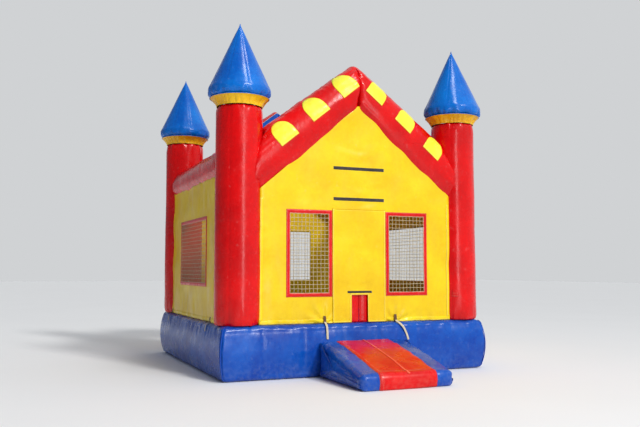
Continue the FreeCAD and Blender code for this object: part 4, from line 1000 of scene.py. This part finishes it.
def make_entrance():
    low, top = 0.705, 2.243
    x_lines = ordered([-0.400, -0.125, 0.125, 0.400], 0.02)
    z_lines = ordered([low, 1.075, top], 0.022)
    x, z = np.meshgrid(x_lines, z_lines)
    mid_x = (x[:-1, :-1] + x[:-1, 1:]) / 2
    mid_z = (z[:-1, :-1] + z[1:, :-1]) / 2
    keep = ~((np.abs(mid_x) < 0.125) & (mid_z < 1.075))
    points = np.stack([x, FLAP_AT - flap_relief(x, z), z], -1)
    flap = surface("flap_cloth", points, MATERIALS["vinyl_yellow"], keep=keep)
    thicken(flap, 0.002, 0.0)
    finish_piece(flap, "entrance_flap", "door_flap")
    path = np.column_stack([np.linspace(-0.399, 0.399, 60), np.full(60, FLAP_AT), np.full(60, 2.2495)])
    thick = 0.0071 + 0.0003 * np.sin(np.arange(60) * 1.3)
    roll = tube("flap_roll", path, thick, MATERIALS["vinyl_yellow"], 12)
    finish_piece(roll, "entrance_flap", slot="vinyl_yellow")
    hems = [("side", -0.400, -0.376, low, top), ("side", 0.376, 0.400, low, top),
            ("notch", -0.147, -0.123, low, 1.077), ("notch", 0.123, 0.147, low, 1.077),
            ("head", -0.147, 0.147, 1.075, 1.099), ("foot", -0.400, -0.125, low, low + 0.022),
            ("foot", 0.125, 0.400, low, low + 0.022)]
    for number, (kind, left, right, bottom, head) in enumerate(hems):
        upright = head - bottom > right - left
        long = ordered([bottom, head] if upright else [left, right], 0.018)
        wide = np.linspace(left, right, 6) if upright else np.linspace(bottom, head, 6)
        x, z = (grid.T for grid in np.meshgrid(wide, long)) if upright else np.meshgrid(long, wide)
        crown = 0.0022 + 0.0022 * np.sin(np.linspace(0, math.pi, 6)) ** 0.7
        points = np.stack([x, FLAP_AT - flap_relief(x, z) - crown[:, None], z], -1)
        hem = surface(f"flap_hem_{kind}_{number}", points, STITCHED["vinyl_yellow"], u=long,
                      v=wide - wide[0], flip=upright)
        thicken(hem, 0.0015)
        finish_piece(hem, "entrance_flap", slot="vinyl_yellow")
    make_tape("door_tape", "entrance_flap", "door_strip", -0.1825, 0.1825, 1.100, 1.130,
              lambda x, z: np.full(np.shape(x), -FLAP_AT + 0.0022) + flap_relief(x, z) - WALL_AT)
    for side, right in (("left", -1), ("right", 1)):
        u = np.linspace(0.004, 0.376, 46)
        z = np.linspace(0.706, 2.199, 64)
        a, b = np.meshgrid(u, z)
        pleat = 0.006 * (1 + np.sin(a * 46 + 0.8 * np.sin(b * 2.1))) * smooth(0.382 - a, 0.02, 0.10)
        pleat = pleat * (0.45 + 0.55 * smooth(2.2 - b, 0.0, 0.5))
        points = np.stack([right * a, CURTAIN_AT + pleat, b], -1)
        curtain = surface(f"curtain_cloth_{side}", points, MATERIALS["vinyl_red"], flip=right < 0)
        thicken(curtain, 0.002, 0.0)
        finish_piece(curtain, f"curtain_{side}", f"entry_curtain_{side}")
        path = np.column_stack([np.full(50, right * 0.382), np.full(50, CURTAIN_AT),
                                np.linspace(0.706, 2.199, 50)])
        roll = tube(f"curtain_roll_{side}", path, 0.0045, MATERIALS["vinyl_red"], 10)
        finish_piece(roll, f"curtain_{side}", slot="vinyl_red")


def make_tape(name, body, node, left, right, low, high, stand):
    """A hook-and-loop strip with a soft edge."""
    x, z = np.meshgrid(ordered([left, right], 0.012), np.linspace(low, high, 7))
    edge = np.minimum(np.minimum(x - left, right - x), np.minimum(z - low, high - z))
    out = stand(x, z) + 0.0004 + 0.0016 * smooth(edge, 0.0, 0.004)
    tape = surface(name, wall_place("front", x, z, out), MATERIALS["tape_black"])
    thicken(tape, 0.0015)
    return finish_piece(tape, body, *([node] if node else []), slot="tape_black")


# ---------------------------------------------------------------------------------------------
# Ramp
# ---------------------------------------------------------------------------------------------

RAMP_FRONT = -HALF - 1.25
FRONT_SWELL = 0.022


def ramp_line():
    """The ramp's side outline as Y and Z, anti-clockwise from the rear bottom, and its marks."""
    back, front, nose = -1.968, RAMP_FRONT, 0.090
    bottom = [(y, 0.0) for y in np.linspace(back, front + 0.02, 46)]
    rise = [(front + 0.005, 0.006)] + [(front, z) for z in np.linspace(0.02, 0.205 - nose, 10)]
    turn = [(front + nose * (1 - math.cos(t)), 0.205 - nose + nose * math.sin(t))
            for t in np.linspace(0, math.pi / 2, 12)[1:]]
    y = np.linspace(front + nose, back, 62)[1:]
    t = (y - (front + nose)) / (back - front - nose)
    top = list(zip(y, 0.205 + (0.475 - 0.205) * t + 0.020 * np.sin(math.pi * t)))
    rear = [(back, z) for z in np.linspace(0.46, 0.02, 20)]
    front = bottom + rise + turn + top
    return np.array(front + rear), len(bottom), len(front)


def outward(line):
    """Unit normals along a closed line."""
    step = np.roll(line, -1, 0) - np.roll(line, 1, 0)
    step /= np.linalg.norm(step, axis=1)[:, None] + 1e-12
    return np.column_stack([step[:, 1], -step[:, 0]])


def ramp_relief(x, line, length):
    """Relief of the ramp's skin over its outline, for points at x along the width."""
    out = 0.004 * noise(x / 0.3, length / 0.3, 0, 231)
    for seam in (-0.395, 0.395):
        out = out + pinch(x - seam, 0.006, 0.012) + puckers(length, x - seam, 0.006, 0.06, 0.07, 233)
    return out


def make_ramp():
    line, first, last = ramp_line()
    normal = -outward(line)
    centre = np.array([-2.55, 0.17])
    normal = normal * np.sign((normal * (line - centre)).sum(1))[:, None]
    length = np.concatenate([[0], np.cumsum(np.linalg.norm(np.diff(line, axis=0), axis=1))])
    half, rounding = 0.640, 0.085
    stations = []
    for t in np.linspace(0, math.pi / 2, 9)[:-1]:
        stations.append((-half + rounding * (1 - math.cos(t)), rounding * (1 - math.sin(t))))
    stations += [(x, 0.0) for x in np.linspace(-half + rounding, half - rounding, 74)]
    stations += [(-x, inset) for x, inset in stations[7::-1]]
    rows = []
    for share in (0.0, 0.2, 0.4, 0.58, 0.74, 0.87, 0.95):
        shrunk = line - normal * rounding
        spot = centre + (shrunk - centre) * share
        depth = -half - 0.034 * (1 - share ** 2)
        away = (1 - share) * 0.3
        depth = depth - puckers(length, away, 0.010, 0.09, 0.06, 241)
        rows.append(np.column_stack([np.maximum(depth, -half - 0.042) * np.ones(len(line)), spot]))
    for x, inset in stations:
        relief = ramp_relief(np.full(len(line), x), line, length)
        edge = half - abs(x)
        relief = relief + puckers(length, edge, 0.010, 0.08, 0.065, 243)
        swell = FRONT_SWELL * np.exp(-((line[:, 0] - RAMP_FRONT) / 0.05) ** 2)
        relief = np.minimum(relief, 0.005) + swell * smooth(line[:, 1], 0.0, 0.09) * math.cos(x / half * 1.2)
        relief = np.where(line[:, 1] < 0.03, np.minimum(relief, 0.0) * 0.2, relief)
        near_back = smooth(line[:, 0], -2.02, -1.975)
        relief = relief * (1 - near_back) - 0.006 * near_back
        spot = line + normal * (np.minimum(relief, 0.030) - inset)[:, None]
        rows.append(np.column_stack([np.full(len(line), x), spot]))
    for row in rows[6::-1]:
        rows.append(row * np.array([-1, 1, 1]))
    points = np.array(rows)
    points[..., 2] = np.maximum(points[..., 2], 0.0005)
    ramp = surface("ramp_skin", points, MATERIALS["vinyl_blue"], wrap=True, caps=False)
    finish_piece(ramp, "house", "ramp")
    path = slice(first, last - 1)
    x_lines = np.linspace(-0.395, 0.395, 54)
    rows = []
    for x in x_lines:
        relief = ramp_relief(np.full(len(line), x), line, length) + FRONT_SWELL * math.cos(x / half * 1.2) \
            * np.exp(-((line[:, 0] - RAMP_FRONT) / 0.05) ** 2) * smooth(line[:, 1], 0.0, 0.09)
        near_back = smooth(line[:, 0], -2.02, -1.975)
        relief = relief * (1 - near_back) - 0.006 * near_back
        edge = 0.395 - abs(x)
        lift = 0.0028 + 0.004 * min(1, edge / 0.03) + 0.0015 * noise(length / 0.09, x / 0.09, 0, 251)
        rows.append(np.column_stack([np.full(len(line), x), line + normal * (relief + lift)[:, None]])[path])
    points = np.array(rows)
    uv_length = length[path]
    tread = surface("ramp_tread_cloth", points, STITCHED["vinyl_red"], u=uv_length,
                    v=x_lines + 0.395, flip=True)
    thicken(tread, 0.002)
    finish_piece(tread, "house", "ramp_tread")
    welt = points[27] * 0.5 + points[26] * 0.5
    welt = welt[14:] + np.array([0.0, 0.0, 0.003])
    seam = surface("tread_centre_seam", ribbon_points(welt, (0, -0.2, 1), 0.024, 0.005),
                   ORANGE, wrap=True, caps=True)
    finish_piece(seam, "house", slot="vinyl_red")
    knot = welt[0] + np.array([[-0.012, 0, 0.004], [-0.006, -0.002, 0.008], [0, -0.003, 0.010],
                               [0.006, -0.002, 0.008], [0.012, 0, 0.004]])
    finish_piece(tube("tread_seam_knot", knot, [0.004, 0.009, 0.011, 0.009, 0.004], ORANGE, 10),
                 "house", slot="vinyl_red")
    webs = []
    for at in (-0.33, 0.0, 0.33):
        y = np.linspace(RAMP_FRONT + 0.08, -2.03, 40)
        path = np.column_stack([at + 0.005 * np.sin(y * 14), y, np.full(40, 0.09)])
        webs.append(ribbon_points(path, (1, 0, 0), 0.15, 0.004))
    finish_piece(many("ramp_webs", webs, MATERIALS["baffle_cloth"]), "house", "ramp_baffles")


# ---------------------------------------------------------------------------------------------
# Straps, anchors, sleeve and zipper
# ---------------------------------------------------------------------------------------------

def spline(points, count=30):
    """A smooth path through a few points."""
    points = np.asarray(points, float)
    t = np.linspace(0, len(points) - 1, count)
    out = []
    for value in t:
        i = min(int(value), len(points) - 2)
        f = value - i
        p = [points[max(i - 1, 0)], points[i], points[i + 1], points[min(i + 2, len(points) - 1)]]
        out.append(0.5 * (2 * p[1] + (p[2] - p[0]) * f + (2 * p[0] - 5 * p[1] + 4 * p[2] - p[3]) * f ** 2
                          + (3 * p[1] - p[0] - 3 * p[2] + p[3]) * f ** 3))
    return np.array(out)


def make_straps():
    loops, straps = [], []
    for x in FRONT_LOOPS:
        path = spline([(x, -1.884, 0.800), (x, -1.893, 0.770), (x, -1.897, 0.735), (x, -1.892, 0.712),
                       (x, -1.886, 0.706)], 24)
        loops.append(ribbon_points(path, (0, -1, 0.2), 0.038, 0.003))
    for y in SIDE_STRAPS:
        path = spline([(-1.884, y, 0.775), (-1.892, y, 0.750), (-1.895, y, 0.725), (-1.886, y, 0.706)], 20)
        loops.append(ribbon_points(path, (-1, 0, 0.2), 0.038, 0.003))
    finish_piece(many("hem_loop_webbing", loops, MATERIALS["webbing_brown"]), "house", "hem_loops")
    left = spline([(-0.52, -1.896, 0.722), (-0.52, -1.925, 0.702), (-0.52, -1.962, 0.668),
                   (-0.52, -1.975, 0.625), (-0.52, -1.984, 0.56), (-0.52, -1.990, 0.500)], 36)
    right = spline([(0.55, -1.896, 0.722), (0.565, -1.925, 0.702), (0.60, -1.962, 0.665),
                    (0.64, -1.976, 0.610), (0.675, -1.985, 0.53), (0.70, -1.986, 0.455)], 36)
    for path in (left, right):
        straps.append(ribbon_points(path, (0, -1, 0.35), 0.030, 0.0028))
    finish_piece(many("ramp_strap_webbing", straps, MATERIALS["webbing_cream"]), "house", "ramp_tie_straps")
    straps = []
    for y in SIDE_STRAPS:
        path = spline([(-1.896, y, 0.722), (-1.925, y - 0.02, 0.702), (-1.961, y - 0.05, 0.668),
                       (-1.976, y - 0.075, 0.625), (-1.981, y - 0.09, 0.592)], 30)
        straps.append(ribbon_points(path, (-1, 0, 0.35), 0.030, 0.0028))
    finish_piece(many("side_strap_webbing", straps, MATERIALS["webbing_cream"]), "house", "side_tie_straps")


def turned_about(points, turn, at):
    """Points made for the rear face, turned about Z and moved to an anchor's middle."""
    c, s = math.cos(turn), math.sin(turn)
    points = np.asarray(points, float)
    x = points[..., 0] * c - points[..., 1] * s + at[0]
    y = points[..., 0] * s + points[..., 1] * c + at[1]
    return np.stack([x, y, points[..., 2]], -1)


def make_anchors():
    tabs = []
    anchors = {"rear_left": (0.0, "x", -1.56), "rear_right": (0.0, "x", 1.56),
               "side_front": (-math.pi / 2, "y", -1.5), "side_rear": (-math.pi / 2, "y", 1.5)}
    for name, (turn, way, value) in anchors.items():
        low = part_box(f"anchor_ring_{name}")[0]
        bar_z, reach = 0.095, 0.025
        out = low[1 if way == "x" else 0] + 0.004
        at = (value, out) if way == "x" else (out, value)
        angle = np.linspace(0, math.pi, 40)
        bow = np.column_stack([reach * np.cos(angle), np.zeros(40), bar_z - reach * np.sin(angle)])
        bar = np.column_stack([np.linspace(reach, -reach, 24), np.zeros(24), np.full(24, bar_z)])
        whole = [tube_points(bow, 0.00395, 14), tube_points(bar, 0.0039, 14)]
        for sign in (-1, 1):
            knuckle = np.column_stack([sign * reach + np.zeros(5), np.zeros(5),
                                       bar_z + np.linspace(-0.0035, 0.0035, 5)])
            whole.append(tube_points(knuckle, [0.0015, 0.0035, 0.0041, 0.0035, 0.0015], 12))
        ring = many(f"ring_steel_{name}", [turned_about(p, turn, at) for p in whole], MATERIALS["metal"])
        finish_piece(ring, f"ring_{name}", f"anchor_ring_{name}")
        inner = 0.0062
        side = [(0, HALF - out - 0.0125, 0.222), (0, HALF - out - 0.0105, 0.17),
                (0, HALF - out - 0.0105, 0.125), (0, -0.0045, bar_z + 0.0125)]
        wrap = [(0, inner * math.cos(t), bar_z + inner * math.sin(t)) for t in
                np.linspace(math.pi * 0.62, -math.pi * 1.30, 24)]
        path = np.vstack([spline(side, 24), np.array(wrap)])
        tabs.append(turned_about(tab_points(path, 0.034, 0.0026), turn, at))
    finish_piece(many("tab_webbing", tabs, MATERIALS["webbing_cream"]), "house", "anchor_tabs")


def tab_points(path, width, thickness):
    """A strap in the YZ plane, its width along X."""
    step = np.gradient(path, axis=0)
    step /= np.linalg.norm(step, axis=1)[:, None] + 1e-12
    normal = np.cross(step, np.array([1.0, 0.0, 0.0]))
    angle = np.linspace(0, PI2, 10, endpoint=False)
    a = np.sign(np.cos(angle)) * np.abs(np.cos(angle)) ** 0.35 * width / 2
    b = np.sin(angle) * thickness / 2
    return (path[:, None] + a[None, :, None] * np.array([1.0, 0.0, 0.0])
            + b[None, :, None] * normal[:, None])


def make_sleeve():
    at_x, at_z = 1.0, 0.26
    angle = np.linspace(0, PI2, 96, endpoint=False)
    y = np.concatenate([np.linspace(1.9806, 2.10, 14), np.linspace(2.11, 2.72, 44),
                        np.linspace(2.725, 2.879, 18)])
    a, b = np.meshgrid(angle, y)
    along = a * 0.143
    r = 0.1425 + puckers(along, b - 1.98, 0.006, 0.10, 0.05, 261) \
        + puckers(along + 2, b - 2.74, 0.006, 0.06, 0.045, 263) \
        - 0.004 * np.exp(-((b - 2.741) / 0.02) ** 2)
    r = np.clip(r, 0.1405, 0.147)
    points = np.stack([at_x + r * np.cos(a), b, at_z + r * np.sin(a)], -1)
    sleeve = surface("sleeve_cloth", points, MATERIALS["vinyl_blue"], wrap=True, flip=True)
    thicken(sleeve, 0.002)
    finish_piece(sleeve, "house", "inflation_sleeve")
    spread = np.linspace(0.1445, 0.171, 7)
    rows = []
    for number, radius in enumerate(spread):
        z = at_z + radius * np.sin(angle)
        rise = np.abs(z - 0.35)
        side = 1.965 + 0.015 * (1 - np.clip(rise / 0.273, 0, 1) ** 2)
        lift = 0.0065 - 0.004 * (number / 6) ** 2 + 0.0012 * noise(angle * 9, number, 0, 265)
        rows.append(np.stack([at_x + radius * np.cos(angle), side + lift, z], -1))
    patch = surface("sleeve_patch", np.array(rows), STITCHED["vinyl_blue"], wrap=True,
                    u=np.linspace(0, 1.0, 97), v=spread - spread[0], flip=True)
    thicken(patch, 0.002)
    finish_piece(patch, "house", slot="vinyl_blue")
    turn = np.linspace(0, PI2, 90)
    band = np.column_stack([at_x + 0.1485 * np.cos(turn), np.full(90, 2.741), at_z + 0.1485 * np.sin(turn)])
    radial = np.column_stack([np.cos(turn), np.zeros(90), np.sin(turn)])
    tails = [spline(ends, 24) for ends in (
        [(1.02, 2.741, 0.4085), (1.06, 2.752, 0.400), (1.105, 2.762, 0.365), (1.13, 2.768, 0.32)],
        [(0.98, 2.741, 0.4085), (0.95, 2.730, 0.402), (0.905, 2.722, 0.368), (0.885, 2.716, 0.325)])]
    shapes = [ribbon_points(band, radial, 0.036, 0.003)]
    for tail in tails:
        away = tail - np.array([at_x, 2.741, at_z])
        away[:, 1] = 0
        shapes.append(ribbon_points(tail, away, 0.022, 0.0025))
    knot = np.array([(0.975, 2.741, 0.410), (0.99, 2.738, 0.4125), (1.0, 2.741, 0.4135),
                     (1.01, 2.744, 0.4125), (1.025, 2.741, 0.410)])
    shapes.append(tube_points(knot, [0.003, 0.006, 0.0065, 0.006, 0.003], 10))
    finish_piece(many("sleeve_strap_webbing", shapes, MATERIALS["webbing_cream"]),
                 "house", "sleeve_tie_strap")


def mattress_side(z):
    """The mattress's reach at a height, between its shoulders."""
    radius = (0.273 ** 2 + 0.015 ** 2) / 0.03
    return HALF - radius + np.sqrt(radius ** 2 - (np.asarray(z, float) - 0.35) ** 2)


def make_zipper():
    left, right, up = -1.150, -0.250, 0.350
    x, z = np.meshgrid(ordered([left, right], 0.01), np.linspace(up - 0.018, up + 0.018, 9))
    edge = np.minimum(np.minimum(x - left, right - x), 0.018 - np.abs(z - up))
    out = mattress_side(z) + 0.0006 + 0.0012 * smooth(edge, 0, 0.003)
    tape = surface("zip_tape_cloth", np.stack([x, out, z], -1), MATERIALS["tape_black"], flip=True)
    thicken(tape, 0.001)
    finish_piece(tape, "house", "zipper_tape")
    teeth = []
    for number, at in enumerate(np.arange(left + 0.006, right - 0.004, 0.0045)):
        sign = 1 if number % 2 else -1
        path = np.array([(at, HALF + 0.0014, up - sign * 0.0006), (at, HALF + 0.0019, up + sign * 0.0012),
                         (at, HALF + 0.0016, up + sign * 0.0034)])
        teeth.append(tube_points(path, [0.0009, 0.0012, 0.0009], 5))
    finish_piece(many("zip_teeth", teeth, MATERIALS["metal"]), "house", slot="metal")
    low, high = (np.array(v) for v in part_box("zipper_slider"))
    start = low[0]
    t = np.linspace(0, 1, 16)
    body = np.column_stack([start + 0.022 * t, np.full(16, low[1] + 0.0030), np.full(16, up)])
    width = 0.0086 * (1 - 0.25 * t) * np.clip(np.minimum(t, 1 - t) * 9 + 0.35, 0, 1)
    angle = np.linspace(0, PI2, 16, endpoint=False)
    shell = np.stack([np.broadcast_to(body[:, :1], (16, 16)),
                      body[:, 1:2] + 0.0027 * squared(np.sin(angle)),
                      body[:, 2:3] + width[:, None] * squared(np.cos(angle))], -1)
    plate = np.column_stack([np.full(22, start + 0.011), np.full(22, low[1] + 0.00685),
                             np.linspace(up + 0.003, low[2] + 0.001, 22)])
    wide = 0.0078 * (0.75 + 0.25 * np.cos(np.linspace(0, PI2, 22)))
    pull = ribbon_points(plate, (0, 1, 0), 1.0, 0.0013, 12)
    middle = plate[:, None]
    pull = middle + (pull - middle) * np.stack([wide, np.ones(22), np.ones(22)], -1)[:, None]
    bail = np.array([(start + 0.005, low[1] + 0.0060, up), (start + 0.008, low[1] + 0.0066, up),
                     (start + 0.011, low[1] + 0.0068, up), (start + 0.014, low[1] + 0.0066, up),
                     (start + 0.017, low[1] + 0.0060, up)])
    slider = many("zip_slider_metal", [shell, pull, tube_points(bail, 0.0007, 8)], MATERIALS["metal"])
    finish_piece(slider, "slider", "zipper_slider")
    low, high = (np.array(v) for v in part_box("zipper_cover"))
    hinge_y = low[1] + 0.011
    hinge_z = high[2] - 0.011
    x = ordered([low[0] + 0.001, high[0] - 0.001], 0.012)
    drop = np.linspace(0, 0.129, 18)
    a, b = np.meshgrid(x, drop)
    wave = 0.0016 * (1 + noise(a / 0.09, b / 0.12, 0, 271)) * smooth(b, 0.01, 0.05)
    cover = surface("zip_cover_cloth", np.stack([a, hinge_y + 0.0062 + wave, hinge_z - b], -1),
                    STITCHED["vinyl_blue"], u=x, v=drop)
    thicken(cover, 0.0018, 0.0)
    finish_piece(cover, "cover", "zipper_cover")
    path = np.column_stack([x, np.full(len(x), hinge_y), np.full(len(x), hinge_z)])
    roll = tube("zip_cover_roll", path, 0.0103 + 0.0004 * np.sin(np.arange(len(x)) * 0.9),
                MATERIALS["vinyl_blue"], 14)
    finish_piece(roll, "cover", slot="vinyl_blue")


# ---------------------------------------------------------------------------------------------
# Everything
# ---------------------------------------------------------------------------------------------

ORANGE = vinyl("vinyl_red_welt", (250, 110, 84), (236, 84, 60), 0.32)

make_mattress()
for number, (corner, (right, rear)) in enumerate(CORNERS.items()):
    make_tower(corner, right, rear, 300 + 20 * number)
    make_gable(corner, right, rear)
for side, right in (("left", -1), ("right", 1)):
    make_eave(side, right)
    make_patches(side, right)
make_rear_stripes()
for wall in ("front", "rear", "left", "right"):
    make_wall(wall)
for window in WINDOWS:
    make_window(window)
make_entrance()
for number, middle in enumerate((2.385, 2.810)):
    make_tape(f"banner_tape_{number}", "house", "banner_strips" if number == 0 else None, -0.385, 0.385,
              middle - 0.0225, middle + 0.0225, lambda x, z: wall_relief("front", x, z) + 0.0006)
make_ramp()
make_straps()
make_anchors()
make_sleeve()
make_zipper()

# Floor, light and camera.
floor = new_object("floor", [(-60, -60, -0.002), (60, -60, -0.002), (60, 90, -0.002), (-60, 90, -0.002)],
                   [(0, 1, 2, 3)], None, pale_floor())

world = bpy.data.worlds.new("studio")
bpy.context.scene.world = world
world.use_nodes = True
sky = world.node_tree
way = sky.nodes.new("ShaderNodeSeparateXYZ")
sky.links.new(sky.nodes.new("ShaderNodeTexCoord").outputs["Generated"], way.inputs[0])
fade = sky.nodes.new("ShaderNodeMapRange")
fade.inputs["From Min"].default_value = -0.26
fade.inputs["From Max"].default_value = -0.04
sky.links.new(way.outputs["X"], fade.inputs["Value"])
blend = sky.nodes.new("ShaderNodeMix")
blend.data_type = "RGBA"
blend.inputs[6].default_value = linear(118, 122, 130)
blend.inputs[7].default_value = linear(208, 210, 212)
sky.links.new(fade.outputs[0], blend.inputs[0])
sky.links.new(blend.outputs[2], sky.nodes["Background"].inputs["Color"])


def aim(light, place, target):
    light.location = place
    light.rotation_mode = "QUATERNION"
    light.rotation_quaternion = (Vector(target) - Vector(place)).to_track_quat("-Z", "Y")
    bpy.context.scene.collection.objects.link(light)


data = bpy.data.lights.new("key", "SUN")
data.energy = 1.68
data.angle = math.radians(9)
data.color = (1.0, 0.985, 0.955)
aim(bpy.data.objects.new("key", data), (3.6, -11.0, 8.2), (0, 0, 0))
data = bpy.data.lights.new("strip_box", "AREA")
data.shape = "RECTANGLE"
data.size, data.size_y = 1.5, 6.4
data.energy = 210
aim(bpy.data.objects.new("strip_box", data), (-0.4, -11.9, 3.5), (-0.2, 0, 3.4))
data = bpy.data.lights.new("top_box", "AREA")
data.shape = "RECTANGLE"
data.size, data.size_y = 2.2, 2.6
data.energy = 300
aim(bpy.data.objects.new("top_box", data), (0.6, -6.5, 14.0), (0, 0, 3.5))

data = bpy.data.cameras.new("camera")
data.sensor_width = 36.0
data.lens = 746.5 / 640 * 36.0
camera = bpy.data.objects.new("camera", data)
bpy.context.scene.collection.objects.link(camera)
camera.location = (-4.46, -11.16, 1.414)
camera.rotation_euler = (math.radians(90 + 4.33), 0.0, -math.radians(22.66))
bpy.context.scene.camera = camera
bpy.context.scene.view_settings.view_transform = "Standard"
